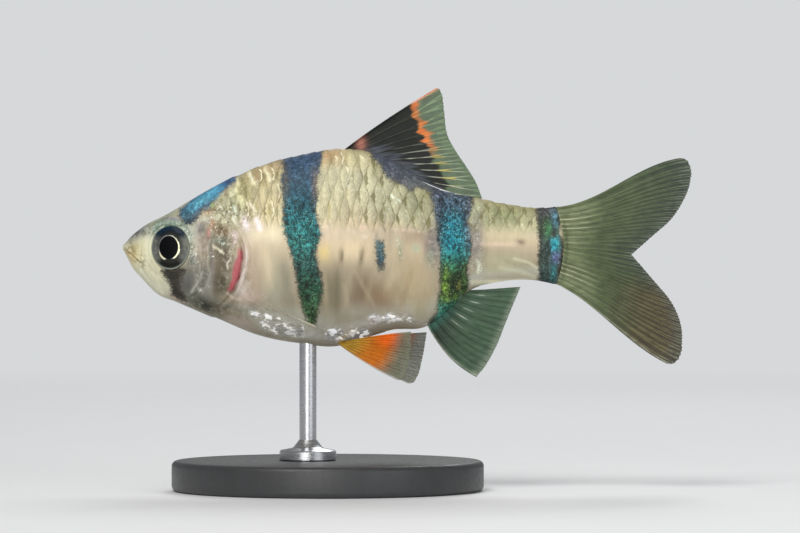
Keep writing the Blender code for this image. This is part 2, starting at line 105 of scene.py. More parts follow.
backAt = smoothLine(body["back"])
bellyAt = smoothLine(body["belly"])
widthAt = smoothLine(body["halfWidth"])
gillEdgeAt = smoothLine(body["gillEdge"])
lateralAt = smoothLine(body["lateralLine"])


def sectionWidth(x, height):
    power = mix(*body["ridgePower"], np.clip(x / body["ridgeChangeX"], 0, 1))
    widest = body["keelPower"] / (body["keelPower"] + power)
    height = np.clip(height, 0.0, 1.0)
    return widthAt(x) * (height / widest) ** body["keelPower"] * ((1 - height) / (1 - widest)) ** power


def heightAt(x, z):
    low = bellyAt(x)
    return (z - low) / (backAt(x) - low)


def widthAtPoint(x, z):
    height = heightAt(x, z)
    return np.where((height > 0) & (height < 1), sectionWidth(x, height), 0.0)


def undersideAt(x, out):
    # how high the underside is at a distance out from the middle plane
    low, high = 0.0, 0.4
    for _ in range(30):
        middle = (low + high) / 2
        low, high = (middle, high) if sectionWidth(x, middle) < out else (low, middle)
    return mix(bellyAt(x), backAt(x), low)


def tailShift(height):
    # the end of the tail stalk bulges back in the middle
    return body["endBulge"] * (1 - (2 * height - 1) ** 2)


def endWidth(along):
    # how the skin closes over the end of the tail stalk
    start, end = body["skinEnd"]
    return np.sqrt(1 - body["endShrink"] * np.clip((along - start) / (end - start), 0, 1) ** 2)


def segmentDistance(x, z, start, end):
    dx, dz = end[0] - start[0], end[1] - start[1]
    along = np.clip(((x - start[0]) * dx + (z - start[1]) * dz) / (dx * dx + dz * dz), 0, 1)
    return np.hypot(x - start[0] - along * dx, z - start[1] - along * dz)


def pathDistance(x, z, points):
    return np.minimum.reduce([segmentDistance(x, z, a, b) for a, b in zip(points, points[1:])])


def insideBy(x, z, outline):
    # how far a place lies inside a closed outline, below 0 outside it
    inside = np.zeros(np.shape(x), bool)
    for (ax, az), (bx, bz) in zip(outline, outline[1:] + outline[:1]):
        crosses = (az > z) != (bz > z)
        inside ^= crosses & (x < (bx - ax) * (z - az) / (bz - az if bz != az else 1.0) + ax)
    distance = pathDistance(x, z, outline + outline[:1])
    return np.where(inside, distance, -distance)


def makePiece(name, points, faces, material, values=(), colours=(), replaced=()):
    # points in millimetres of the fish, values and colours one for each point
    points = np.asarray(points, float).reshape(-1, 3) + (body["snoutX"], 0.0, body["axisHeight"])
    mesh = bpy.data.meshes.new(name)
    mesh.from_pydata((points * 0.001).tolist(), [], faces)
    mesh.shade_smooth()
    for layers, kind, field in ((values, "FLOAT", "value"), (colours, "FLOAT_COLOR", "color")):
        for key, data in dict(layers).items():
            layer = mesh.attributes.new(key, kind, "POINT").data
            layer.foreach_set(field, np.ravel(data).astype(np.float32))
    mesh.materials.append(material)
    piece = bpy.data.objects.new(name, mesh)
    bpy.context.scene.collection.objects.link(piece)
    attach(piece, "root")
    if replaced:
        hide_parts(*replaced)
    print(name, "has", len(mesh.polygons), "faces")
    return piece


def rimFaces(rows, columns, flip=False):
    # quads that join the edges of two grids, the second one's points after the first one's
    edge = [(0, j) for j in range(columns - 1)] + [(i, columns - 1) for i in range(rows - 1)]
    edge += [(rows - 1, j) for j in range(columns - 1, 0, -1)] + [(i, 0) for i in range(rows - 1, 0, -1)]
    ids, other = [i * columns + j for i, j in edge], rows * columns
    quads = [[p, q, q + other, p + other] for p, q in zip(ids, ids[1:] + ids[:1])]
    return [quad[::-1] for quad in quads] if flip else quads


def gridFaces(rows, columns, first=0, around=False, flip=False):
    # quads of a grid with rows x columns points, closed round its columns where asked
    i, j = np.meshgrid(np.arange(rows - 1), np.arange(columns if around else columns - 1), indexing="ij")
    right = (j + 1) % columns
    near, far = i * columns, (i + 1) * columns
    quads = np.stack([near + j, near + right, far + right, far + j], -1).reshape(-1, 4) + first
    return (quads[:, ::-1] if flip else quads).tolist()


# Markings, the same on the skin and on the scales over it. Each dark bar has its outline, its
# colour down the flank as (z, red, green, blue), and how strongly its specks shine.
bars = [
    {   # over the nape
        "outline": [
            (5.95, 3.28), (6.04, 3.95), (7.0, 4.72), (7.7, 5.3), (8.16, 5.8), (9.12, 6.5), (9.98, 7.1),
            (10.85, 7.6),
            (11.7, 7.95), (11.8, 7.3), (11.35, 6.7), (10.9, 6.3), (10.2, 5.72), (9.4, 4.8), (8.54, 3.95),
            (7.96, 3.38), (7.58, 2.9), (7.2, 2.4), (6.7, 2.4), (6.23, 2.8),
        ],
        "tints": [
            (2.3, 0.03, 0.06, 0.08), (3.2, 0.05, 0.11, 0.16), (4.2, 0.06, 0.20, 0.32),
            (5.4, 0.08, 0.33, 0.50),
            (6.4, 0.05, 0.17, 0.36), (7.6, 0.05, 0.11, 0.25),
        ],
        "shine": 0.45,
    },
    {   # behind the shoulder
        "outline": [
            (17.0, 10.9), (16.9, 9.15), (16.75, 7.24), (16.95, 5.66), (16.9, 3.96), (17.1, 1.96),
            (17.55, -0.05),
            (17.95, -1.5), (18.2, -3.01), (18.45, -4.28), (18.75, -5.66), (19.1, -6.8), (19.5, -7.7),
            (19.95, -8.2), (20.35, -7.6), (20.65, -6.4), (20.85, -5.2), (20.95, -3.9), (20.6, -2.6),
            (20.2, -0.9),
            (20.4, 0.2), (20.75, 1.2), (20.5, 2.5), (20.2, 4.1), (20.4, 5.45), (20.3, 6.4), (20.6, 7.77),
            (20.7, 9.15), (21.0, 10.9),
        ],
        "tints": [
            (-7.6, 0.05, 0.11, 0.04), (-4.5, 0.012, 0.060, 0.030), (-2.0, 0.012, 0.060, 0.052),
            (0.5, 0.02, 0.16, 0.155),
            (2.5, 0.02, 0.155, 0.17), (4.5, 0.016, 0.09, 0.125), (7.0, 0.026, 0.074, 0.125),
            (10.0, 0.05, 0.09, 0.17),
        ],
        "shine": 0.8,
    },
    {   # under the dorsal fin
        "outline": [
            (32.41, 6.6), (32.72, 4.49), (32.93, 2.7), (33.25, 1.22), (33.36, -0.16), (33.25, -2.06),
            (33.46, -3.96),
            (33.46, -5.23), (33.15, -6.93), (32.41, -8.1), (33.5, -8.9), (35.26, -7.03), (36.0, -5.97),
            (36.32, -4.07),
            (36.21, -2.06), (36.64, -0.69), (36.53, 0.79), (36.21, 2.7), (36.53, 3.65), (36.74, 5.7),
        ],
        "tints": [
            (-8.0, 0.02, 0.03, 0.02), (-7.3, 0.04, 0.20, 0.17), (-6.4, 0.06, 0.22, 0.15),
            (-5.5, 0.055, 0.12, 0.025),
            (-3.0, 0.030, 0.075, 0.014), (-1.4, 0.02, 0.15, 0.11), (0.5, 0.02, 0.20, 0.25),
            (3.0, 0.014, 0.078, 0.12),
            (4.5, 0.07, 0.11, 0.16), (6.0, 0.10, 0.12, 0.17),
        ],
        "shine": 1.0,
    },
    {   # at the end of the tail stalk
        "outline": [
            (43.72, 4.5), (43.78, 2.27), (43.88, 1.0), (43.93, -0.16), (43.72, -1.43), (43.78, -2.91),
            (44.04, -4.9),
            (45.7, -4.9), (45.94, -2.91), (46.26, -1.43), (46.36, 0.37), (45.83, 1.32), (45.94, 3.44),
            (45.94, 4.7),
        ],
        "tints": [
            (-4.5, 0.02, 0.04, 0.04), (-2.5, 0.04, 0.07, 0.06), (0.5, 0.05, 0.07, 0.06),
            (2.0, 0.05, 0.07, 0.04),
            (4.2, 0.06, 0.06, 0.07),
        ],
        "shine": 0.5,
    },
    {   # the sheath along the dorsal fin's root
        "outline": [
            (26.06, 10.6), (26.3, 9.6), (27.01, 8.62), (27.97, 7.24), (28.81, 6.93), (29.66, 6.5),
            (30.29, 5.87),
            (30.93, 6.3), (32.09, 5.95), (32.62, 5.7), (32.62, 7.24), (30.29, 9.2), (28.6, 10.6),
            (27.01, 11.5), (25.85, 11.3),
        ],
        "tints": [(5.9, 0.19, 0.20, 0.20), (7.5, 0.11, 0.125, 0.155), (10.6, 0.09, 0.105, 0.15)],
        "shine": 0.75,
    },
    {   # small mark on the side
        "outline": [
            (26.65, 0.5), (27.3, 0.4), (27.45, -0.7), (27.3, -1.9), (27.08, -2.5), (26.9, -1.8),
            (26.75, -0.6),
        ],
        "tints": [(-2.5, 0.07, 0.08, 0.07), (-1.2, 0.05, 0.12, 0.16), (0.4, 0.17, 0.32, 0.33)],
        "shine": 0.6,
    },
    {   # under the eye
        "outline": [
            (4.2, -2.6), (5.2, -2.4), (6.35, -2.45), (5.98, -3.6), (6.02, -4.5), (6.6, -5.75),
            (5.8, -5.4), (5.15, -4.95),
            (5.02, -4.0), (4.5, -3.2),
        ],
        "tints": [(-6.0, 0.030, 0.024, 0.016), (-2.3, 0.034, 0.030, 0.022)],
        "shine": 0.0,
    },
]

# Soft strokes laid over a colour in turn: x, z, half length, half height, turn in degrees, colour
# and strength
barStrokes = [
    (8.2, 4.75, 1.5, 0.32, 36, (0.16, 0.52, 0.66), 0.8),
    (9.6, 5.9, 0.8, 0.3, 36, (0.14, 0.50, 0.68), 0.7),
    (8.4, 3.9, 1.1, 0.3, 42, (0.10, 0.10, 0.10), 0.7),
    (11.0, 6.8, 0.5, 0.5, 36, (0.03, 0.06, 0.14), 0.7),
    (20.35, 6.4, 0.4, 1.5, 0, (0.24, 0.18, 0.15), 0.85),
    (17.1, 6.8, 0.3, 1.8, 0, (0.12, 0.10, 0.07), 0.7),
    (10.0, 5.9, 0.9, 0.22, 35, (0.10, 0.34, 0.58), 0.6),
    (33.1, 1.6, 0.4, 3.4, 0, (0.12, 0.12, 0.15), 0.7),
    (36.5, 2.0, 0.5, 2.6, 0, (0.15, 0.17, 0.20), 0.8),
    (34.6, 1.6, 0.9, 2.4, 0, (0.01, 0.16, 0.22), 0.6),
    (34.2, -7.0, 1.2, 0.7, 30, (0.06, 0.30, 0.23), 0.9),
    (34.9, -4.2, 1.4, 1.9, 0, (0.020, 0.040, 0.010), 0.8),
    (35.3, -2.9, 0.45, 0.9, 0, (0.012, 0.020, 0.008), 0.7),
    (33.95, -2.7, 0.28, 0.75, 0, (0.13, 0.24, 0.03), 0.75),
    (36.1, -2.3, 0.2, 0.6, 0, (0.13, 0.21, 0.05), 0.75),
    (34.7, -2.2, 0.3, 0.4, 0, (0.05, 0.24, 0.12), 0.7),
    (33.9, -4.4, 0.28, 0.5, 0, (0.17, 0.28, 0.03), 0.8),
    (35.4, -4.2, 0.17, 0.4, -15, (0.20, 0.20, 0.04), 0.9),
    (34.1, -5.5, 0.35, 0.4, 0, (0.16, 0.28, 0.05), 0.8),
    (34.95, -5.4, 0.16, 0.35, 0, (0.14, 0.28, 0.04), 0.8),
    (35.7, -5.7, 0.22, 0.3, 0, (0.34, 0.52, 0.44), 0.9),
    (45.5, 2.9, 0.35, 0.9, 0, (0.11, 0.28, 0.36), 0.85),
    (45.45, 0.2, 0.42, 0.8, 0, (0.03, 0.42, 0.52), 0.95),
    (45.6, -1.2, 0.4, 0.6, 0, (0.14, 0.16, 0.36), 0.9),
    (45.4, -2.7, 0.35, 0.9, 0, (0.03, 0.20, 0.22), 0.8),
    (44.9, -0.6, 0.15, 1.9, 0, (0.03, 0.03, 0.02), 0.7),
    (44.8, 1.8, 0.35, 0.8, 0, (0.06, 0.24, 0.09), 0.8),
    (45.3, 1.3, 0.25, 0.35, 0, (0.07, 0.05, 0.03), 0.8),
    (46.0, -2.6, 0.2, 0.7, 0, (0.16, 0.10, 0.06), 0.7),
]

fleshByHeight = [
    (0.0, 0.36, 0.31, 0.22), (0.06, 0.43, 0.40, 0.31), (0.13, 0.46, 0.46, 0.39), (0.22, 0.34, 0.29, 0.20),
    (0.36, 0.43, 0.36, 0.25), (0.5, 0.60, 0.49, 0.33), (0.58, 0.68, 0.56, 0.40), (0.68, 0.63, 0.59, 0.43),
    (0.86, 0.60, 0.57, 0.41), (0.95, 0.50, 0.46, 0.30), (1.0, 0.38, 0.35, 0.23),
]
cream = (0.66, 0.65, 0.44)
silver = (0.66, 0.66, 0.62)
fleshStrokes = [
    (2.2, 0.3, 4.6, 4.2, -20, cream, 1.0),                  # snout and cheek
    (3.0, -3.4, 2.6, 1.3, -40, (0.62, 0.61, 0.44), 0.8),
    (1.0, -0.7, 0.9, 1.2, -20, (0.56, 0.45, 0.20), 0.75),
    (2.9, 0.9, 0.8, 1.7, 10, (0.72, 0.72, 0.56), 0.6),
    (1.5, 1.5, 1.7, 0.65, 32, (0.17, 0.18, 0.19), 0.95),    # along the top of the snout
    (4.4, 3.0, 1.8, 0.5, 30, (0.34, 0.36, 0.27), 0.9),
    (5.4, 2.85, 1.3, 0.22, -6, (0.30, 0.27, 0.32), 0.85),   # over the eye
    (4.95, 2.35, 1.5, 0.42, 0, (0.12, 0.24, 0.20), 0.95),
    (3.45, 1.75, 0.4, 0.7, -38, (0.14, 0.26, 0.22), 0.8),
    (6.55, 1.75, 0.4, 0.7, 38, (0.20, 0.34, 0.30), 0.8),
    (7.1, 0.7, 0.42, 1.5, 8, (0.46, 0.52, 0.44), 0.95),     # silver behind the eye
    (7.3, -1.3, 0.5, 0.7, 0, (0.30, 0.36, 0.34), 0.8),
    (6.3, -3.6, 0.5, 1.5, -10, (0.07, 0.07, 0.06), 0.9),
    (7.0, -3.6, 0.85, 2.2, -14, (0.11, 0.11, 0.10), 1.0),    # cheek below and behind the eye
    (8.5, -3.2, 0.8, 1.7, -8, (0.20, 0.205, 0.19), 0.9),
    (8.4, 0.1, 0.75, 1.2, 4, (0.38, 0.32, 0.28), 0.9),
    (8.2, 1.9, 0.75, 0.9, 0, (0.20, 0.18, 0.185), 0.9),
    (8.9, -6.3, 2.6, 1.1, -25, (0.018, 0.018, 0.004), 1.0),
    (11.4, -7.1, 1.8, 0.7, -20, (0.20, 0.16, 0.09), 0.8),
    (8.7, -6.4, 0.7, 0.5, -25, (0.008, 0.010, 0.006), 0.7),
    # a yellow glint painted on the throat
    (10.8, -5.4, 0.5, 0.22, -30, (0.52, 0.44, 0.26), 0.8),
    (10.5, -0.9, 1.5, 2.4, 0, (0.13, 0.092, 0.05), 1.0),    # gill cover
    (10.3, -3.9, 1.2, 1.8, 8, (0.075, 0.062, 0.036), 0.95),
    (9.2, -3.3, 0.35, 1.5, -6, (0.30, 0.30, 0.28), 0.7),
    (9.3, -0.6, 0.4, 2.6, 0, (0.20, 0.17, 0.14), 0.8),
    (10.3, 0.6, 0.95, 0.5, -12, (0.20, 0.24, 0.18), 0.85),
    (10.4, 1.7, 0.9, 0.6, -10, (0.17, 0.085, 0.045), 0.9),
    (9.45, 2.5, 0.3, 0.6, 0, (0.58, 0.26, 0.15), 0.7),
    (9.05, 1.4, 0.2, 0.45, 0, (0.64, 0.24, 0.22), 0.65),
    (9.0, 3.75, 0.8, 0.4, 20, (0.46, 0.29, 0.16), 0.85),
    (11.2, 4.0, 1.7, 1.7, 0, (0.26, 0.25, 0.11), 0.9),
    (9.35, 4.35, 0.2, 0.25, 0, (0.42, 0.66, 0.16), 0.85),
    (11.9, 1.1, 0.35, 0.3, 0, (0.80, 0.66, 0.64), 0.85),
    (8.12, -4.56, 0.16, 0.16, 0, (0.90, 0.92, 0.86), 0.9),
    (11.7, -5.6, 1.2, 0.5, -15, (0.30, 0.24, 0.17), 0.6),
    (14.4, 6.2, 2.7, 3.2, 0, (0.40, 0.33, 0.17), 0.75),
    (31.0, 4.7, 1.6, 1.7, 0, (0.30, 0.32, 0.19), 0.8),
    (27.6, 5.0, 2.4, 2.2, -30, (0.50, 0.52, 0.39), 0.5),
    (39.8, 3.3, 3.6, 1.3, 0, (0.27, 0.30, 0.15), 0.85),
    (12.1, 6.1, 1.6, 1.4, 30, (0.50, 0.48, 0.28), 0.5),     # nape behind the blue
    (15.3, 3.6, 1.6, 1.4, 0, (0.66, 0.56, 0.36), 0.6),
    (15.4, 8.4, 1.8, 0.6, 24, (0.60, 0.42, 0.28), 0.6),
    (32.7, 0.3, 0.75, 2.3, 0, (0.14, 0.145, 0.19), 0.95),   # grey beside the bar under the dorsal fin
    (37.2, 0.6, 0.75, 2.4, 0, (0.18, 0.17, 0.20), 0.9),
    (37.2, 4.0, 0.5, 1.2, 0, (0.50, 0.54, 0.42), 0.6),
    (40.5, 1.3, 3.0, 0.8, 0, (0.64, 0.57, 0.33), 0.6),
    (12.9, 1.3, 0.6, 1.3, 0, (0.66, 0.58, 0.46), 0.7),
    (13.6, -5.4, 1.3, 0.8, -12, (0.52, 0.40, 0.34), 0.7),
    (12.6, -4.4, 0.7, 0.9, -10, (0.70, 0.60, 0.55), 0.7),
    (15.2, 1.5, 1.9, 1.0, -8, (0.92, 0.82, 0.56), 0.85),    # glow on the shoulder
    (12.8, 2.5, 0.7, 0.75, -20, (0.42, 0.34, 0.24), 0.7),
    (14.5, 2.4, 0.8, 0.75, -10, (0.55, 0.46, 0.30), 0.6),
    (13.7, -2.4, 0.8, 2.4, 4, (0.48, 0.37, 0.27), 0.8),
    (15.3, -2.2, 0.45, 2.6, 4, (0.66, 0.57, 0.38), 0.8),
    (16.2, -3.2, 0.3, 2.8, 6, (0.40, 0.37, 0.26), 0.7),
    (17.2, -3.8, 0.55, 3.0, 6, (0.24, 0.23, 0.16), 0.85),
    (15.9, -5.6, 0.9, 1.6, 6, (0.34, 0.34, 0.26), 0.6),
    (18.9, 9.9, 3.0, 0.5, 12, (0.30, 0.28, 0.24), 0.4),
    (21.6, 9.6, 1.5, 0.8, 8, (0.70, 0.44, 0.24), 0.7),      # warm in front of the dorsal fin
    (24.8, 9.3, 1.2, 0.8, -10, (0.76, 0.72, 0.48), 0.5),
    (21.2, -0.7, 0.6, 0.9, 0, (0.82, 0.62, 0.22), 0.85),
    (23.9, -0.4, 2.0, 1.1, 0, (0.84, 0.68, 0.44), 0.8),
    (21.9, -4.6, 1.5, 2.8, 0, (0.19, 0.16, 0.095), 0.9),     # soft ribs of the lower side
    (21.3, -4.6, 0.24, 2.2, 4, (0.42, 0.35, 0.23), 0.7),
    (22.5, -5.0, 0.3, 2.4, 0, (0.16, 0.14, 0.08), 0.7),
    (25.0, -4.6, 1.2, 2.0, -10, (0.20, 0.145, 0.085), 0.9),
    (23.6, -4.8, 0.27, 2.2, -8, (0.44, 0.36, 0.25), 0.6),
    (26.0, -4.4, 0.27, 2.2, -14, (0.46, 0.38, 0.25), 0.6),
    (27.3, -5.4, 1.5, 1.5, 0, (0.22, 0.13, 0.065), 0.9),
    (24.2, -7.6, 3.2, 0.7, 0, (0.30, 0.27, 0.19), 0.7),
    (28.4, -3.2, 0.5, 2.0, -20, (0.62, 0.52, 0.34), 0.6),
    (30.6, -3.8, 2.2, 3.0, 0, (0.47, 0.38, 0.22), 0.8),
    (31.3, -6.6, 1.0, 1.1, 0, (0.38, 0.33, 0.20), 0.7),
    (29.6, -5.0, 0.25, 2.0, -16, (0.34, 0.25, 0.14), 0.6),
    (30.9, 1.0, 2.0, 0.9, 0, (0.36, 0.27, 0.18), 0.75),
    (24.6, 3.4, 1.4, 0.7, -6, (0.60, 0.50, 0.36), 0.5),
    (23.0, -1.0, 0.2, 0.75, -4, (0.13, 0.10, 0.05), 0.9),   # dark dashes on the side
    (25.1, -1.1, 0.22, 0.95, -8, (0.13, 0.10, 0.05), 0.9),
    (27.0, -0.9, 0.6, 1.9, 0, (0.40, 0.34, 0.24), 0.6),
    (27.6, 2.6, 0.14, 1.5, -4, (0.17, 0.15, 0.13), 0.75),
    (26.75, 0.8, 0.16, 0.9, 0, (0.20, 0.17, 0.15), 0.6),
    (28.2, 1.4, 0.22, 1.5, -6, (0.20, 0.18, 0.15), 0.6),
    (32.3, -1.0, 0.4, 0.9, 0, (0.22, 0.28, 0.20), 0.7),
    (29.15, -0.7, 0.2, 1.0, -3, (0.24, 0.25, 0.15), 0.75),
    (29.0, 0.4, 0.35, 0.5, 0, (0.48, 0.50, 0.36), 0.6),
    (30.8, -0.2, 0.35, 0.35, 0, (0.34, 0.48, 0.33), 0.7),
    (32.0, 0.2, 0.35, 1.2, 0, (0.28, 0.22, 0.20), 0.6),
    (37.3, 0.6, 0.5, 1.6, 0, (0.30, 0.26, 0.24), 0.6),
    (38.2, -0.3, 0.3, 0.8, 0, (0.36, 0.30, 0.20), 0.5),
    (41.9, 0.4, 0.42, 0.3, 0, (0.11, 0.065, 0.05), 0.95),
    (39.6, 0.25, 2.4, 0.22, 0, (0.78, 0.62, 0.46), 0.8),
    (39.8, -2.0, 2.6, 1.3, 0, (0.50, 0.47, 0.30), 0.8),
    # a pale line along the stalk's lower edge, painted bright as a highlight
    (39.8, -3.8, 2.8, 0.24, 2, (0.95, 0.92, 0.66), 0.95),
    (16.9, -8.5, 1.3, 0.5, -12, silver, 0.9),               # silver of the belly
    (19.2, -9.3, 1.3, 0.45, -8, silver, 0.9),
    (22.9, -9.9, 1.2, 0.35, 0, silver, 0.9),
    (26.5, -8.0, 2.4, 0.4, 12, silver, 0.6),
    (12.0, -8.0, 1.6, 0.5, -18, (0.52, 0.42, 0.36), 0.7),
]
gillRed = (0.42, 0.09, 0.10)
gillRim = (0.78, 0.68, 0.64)

# Thin painted lines: points, half width, colour, strength
fleshLines = [
    ([(9.1, 0.6), (8.98, -0.2), (9.08, -1.0), (8.96, -1.8), (9.05, -2.5)], 0.13, (0.62, 0.60, 0.48), 0.5),
    ([(8.3, -2.9), (8.1, -3.5), (7.65, -4.1), (7.2, -4.8)], 0.14, (0.52, 0.52, 0.46), 0.55),
    ([(7.8, 1.9), (8.1, 2.7), (8.7, 3.0), (9.1, 2.5)], 0.15, (0.56, 0.52, 0.46), 0.5),
    ([(7.7, 2.3), (7.75, 1.2), (7.9, 0.3)], 0.12, (0.46, 0.44, 0.40), 0.5),
    ([(9.3, -2.7), (8.95, -3.8), (8.35, -5.0)], 0.09, (0.42, 0.40, 0.34), 0.5),
    ([(20.6, 2.05), (25.0, 2.0), (31.5, 1.6)], 0.07, (0.80, 0.62, 0.52), 0.6),
    ([(20.8, 1.0), (23.5, 1.0), (26.2, 0.9)], 0.06, (0.80, 0.62, 0.50), 0.5),
    ([(23.6, 2.0), (24.6, 1.2), (26.0, 0.9)], 0.06, (0.86, 0.74, 0.62), 0.5),
    # painted highlights on the gill cover
    ([(9.53, 0.02), (10.1, -0.3), (10.65, -0.72)], 0.11, (0.92, 0.86, 0.62), 0.95),
    ([(11.4, -1.25), (11.0, -1.84), (11.1, -2.37)], 0.08, (0.76, 0.70, 0.60), 0.85),
    ([(10.9, 2.6), (10.36, 2.5)], 0.10, (0.86, 0.84, 0.50), 0.7),
    ([(10.2, 3.2), (9.7, 2.9), (9.2, 3.0), (8.7, 2.9), (8.3, 2.7)], 0.10, (0.62, 0.66, 0.50), 0.6),
    # behind the nape: dark lines as painted shade in folds, pale facets partly painted light, and bright
    # edges as painted highlights
    ([(12.4, 7.2), (12.5, 5.8)], 0.22, (0.27, 0.24, 0.11), 0.8),
    ([(13.2, 5.7), (13.4, 4.9)], 0.2, (0.30, 0.29, 0.12), 0.8),
    ([(14.05, 4.4), (14.05, 3.1)], 0.14, (0.34, 0.30, 0.12), 0.8),
    ([(15.4, 4.4), (15.45, 3.2)], 0.14, (0.33, 0.29, 0.12), 0.8),
    ([(16.5, 6.2), (16.35, 4.6)], 0.16, (0.28, 0.21, 0.10), 0.7),
    ([(14.1, 7.9), (13.95, 7.0)], 0.16, (0.42, 0.30, 0.16), 0.7),
    ([(12.75, 2.95), (13.05, 2.15)], 0.42, (1.0, 0.90, 0.90), 1.0),      # two scales painted bright as highlights
    ([(14.1, 2.85), (14.4, 1.95)], 0.36, (1.0, 0.90, 0.90), 1.0),
    ([(11.9, 7.2), (12.06, 6.6), (11.87, 5.9)], 0.14, (0.95, 0.88, 0.56), 1.0),
    ([(13.2, 7.85), (13.48, 7.24), (13.72, 6.65)], 0.22, (1.0, 0.95, 0.70), 1.0),
    ([(14.9, 8.5), (14.84, 7.85)], 0.16, (0.96, 0.90, 0.62), 1.0),
    ([(15.2, 7.8), (15.42, 7.0)], 0.17, (1.0, 0.94, 0.66), 1.0),
    ([(13.3, 4.55), (13.75, 3.9)], 0.2, (0.95, 0.87, 0.70), 1.0),
    ([(12.2, 5.3), (12.5, 4.3)], 0.32, (0.62, 0.63, 0.42), 0.8),
    ([(11.35, 5.75), (11.5, 4.7)], 0.28, (0.64, 0.64, 0.38), 0.9),
    ([(11.75, 5.3), (11.62, 3.7)], 0.13, (0.24, 0.25, 0.12), 0.9),
    ([(12.05, 4.2), (12.3, 3.1)], 0.22, (0.74, 0.76, 0.64), 0.95),
    ([(12.3, 5.3), (12.45, 4.6)], 0.26, (0.78, 0.76, 0.50), 0.95),
    ([(11.75, 4.1), (11.95, 3.5)], 0.22, (0.66, 0.74, 0.66), 0.95),
    ([(11.3, 5.0), (11.45, 4.4)], 0.14, (0.13, 0.14, 0.06), 0.9),
    ([(13.8, 7.7), (14.0, 7.2)], 0.2, (0.36, 0.24, 0.14), 0.5),
    ([(13.1, 4.4), (12.8, 3.6)], 0.14, (0.24, 0.22, 0.10), 0.8),
    ([(14.7, 7.2), (14.5, 6.2)], 0.14, (0.30, 0.24, 0.10), 0.7),
    ([(16.1, 7.9), (15.95, 6.9)], 0.14, (0.34, 0.26, 0.12), 0.7),
    ([(12.2, 6.2), (12.3, 5.6)], 0.14, (0.22, 0.20, 0.08), 0.8),
    ([(12.9, 6.1), (13.1, 4.7)], 0.16, (0.34, 0.31, 0.14), 0.8),
    ([(10.9, 4.7), (10.65, 3.6)], 0.2, (0.26, 0.26, 0.14), 0.8),
    ([(10.2, 4.3), (10.9, 3.2)], 0.14, (0.76, 0.74, 0.56), 0.8),
    ([(11.3, 3.6), (11.9, 2.4)], 0.13, (0.80, 0.78, 0.62), 0.8),
    ([(10.9, 2.9), (11.5, 2.0)], 0.16, (0.34, 0.29, 0.20), 0.7),
    ([(11.0, 6.6), (10.9, 5.4)], 0.16, (0.36, 0.30, 0.16), 0.8),
    ([(14.6, 6.4), (14.75, 5.3)], 0.08, (0.74, 0.68, 0.44), 0.8),
    ([(15.6, 5.7), (15.5, 4.9)], 0.08, (0.72, 0.66, 0.42), 0.8),
    # behind the shoulder: bright edges as painted highlights, and dark streaks
    ([(28.35, 5.25), (28.75, 4.65), (29.2, 5.0)], 0.08, (0.90, 0.96, 0.86), 1.0),
    ([(30.45, 5.05), (30.6, 4.55)], 0.11, (0.92, 0.94, 0.84), 1.0),
    ([(22.5, 9.6), (22.3, 9.0)], 0.10, (0.96, 0.90, 0.66), 0.9),
    ([(23.05, 6.4), (22.9, 5.6)], 0.09, (0.84, 0.82, 0.60), 0.9),
    ([(25.0, 9.6), (25.4, 9.1)], 0.10, (0.92, 0.88, 0.66), 0.9),
    ([(21.66, 4.6), (21.7, 3.0)], 0.15, (0.42, 0.36, 0.15), 0.7),
    ([(26.6, 8.6), (26.3, 7.4)], 0.2, (0.20, 0.19, 0.09), 0.8),
    ([(27.5, 4.6), (27.5, 3.8)], 0.13, (0.22, 0.21, 0.09), 0.8),
    ([(37.3, -1.4), (37.55, -2.0), (37.4, -2.8)], 0.12, (0.84, 0.88, 0.70), 0.9),    # stalk: bright lines as painted highlights, and a dark line as painted shade in a fold
    ([(41.2, -1.3), (42.7, -1.7), (43.6, -2.3)], 0.14, (0.74, 0.72, 0.52), 0.6),
    ([(39.7, -2.3), (41.6, -2.6), (43.4, -3.3)], 0.2, (0.64, 0.63, 0.45), 0.5),
    ([(40.2, -1.5), (42.0, -2.2), (43.4, -2.9)], 0.12, (0.34, 0.32, 0.20), 0.5),
    ([(24.4, -2.5), (25.4, -4.4), (26.5, -6.4)], 0.2, (0.50, 0.42, 0.28), 0.35),
    ([(23.2, -4.0), (23.9, -6.6)], 0.2, (0.46, 0.39, 0.26), 0.3),
    ([(10.75, 6.0), (10.8, 5.4)], 0.13, (0.20, 0.14, 0.08), 0.8),
    ([(11.6, 5.0), (11.2, 4.0), (11.4, 3.3)], 0.12, (0.26, 0.22, 0.12), 0.6),
    ([(11.7, 1.6), (11.95, 0.8), (11.75, 0.3)], 0.13, (0.74, 0.62, 0.60), 0.8),
    ([(0.1, -0.5), (0.9, -1.05), (1.5, -1.5)], 0.10, (0.34, 0.24, 0.10), 0.7),
    ([(1.4, -2.1), (3.0, -4.0), (4.2, -4.9)], 0.12, (0.74, 0.72, 0.56), 0.5),
    ([(4.9, -5.0), (5.6, -5.5), (6.4, -5.9)], 0.12, (0.56, 0.36, 0.28), 0.7),
    ([(7.0, -6.3), (8.6, -7.0), (10.4, -7.4)], 0.2, (0.20, 0.18, 0.10), 0.7),
    ([(11.0, -4.9), (11.6, -5.4), (12.4, -5.6)], 0.13, (0.70, 0.58, 0.46), 0.6),
    ([(10.2, -5.6), (11.0, -6.0), (12.0, -6.0)], 0.2, (0.24, 0.19, 0.12), 0.6),
]
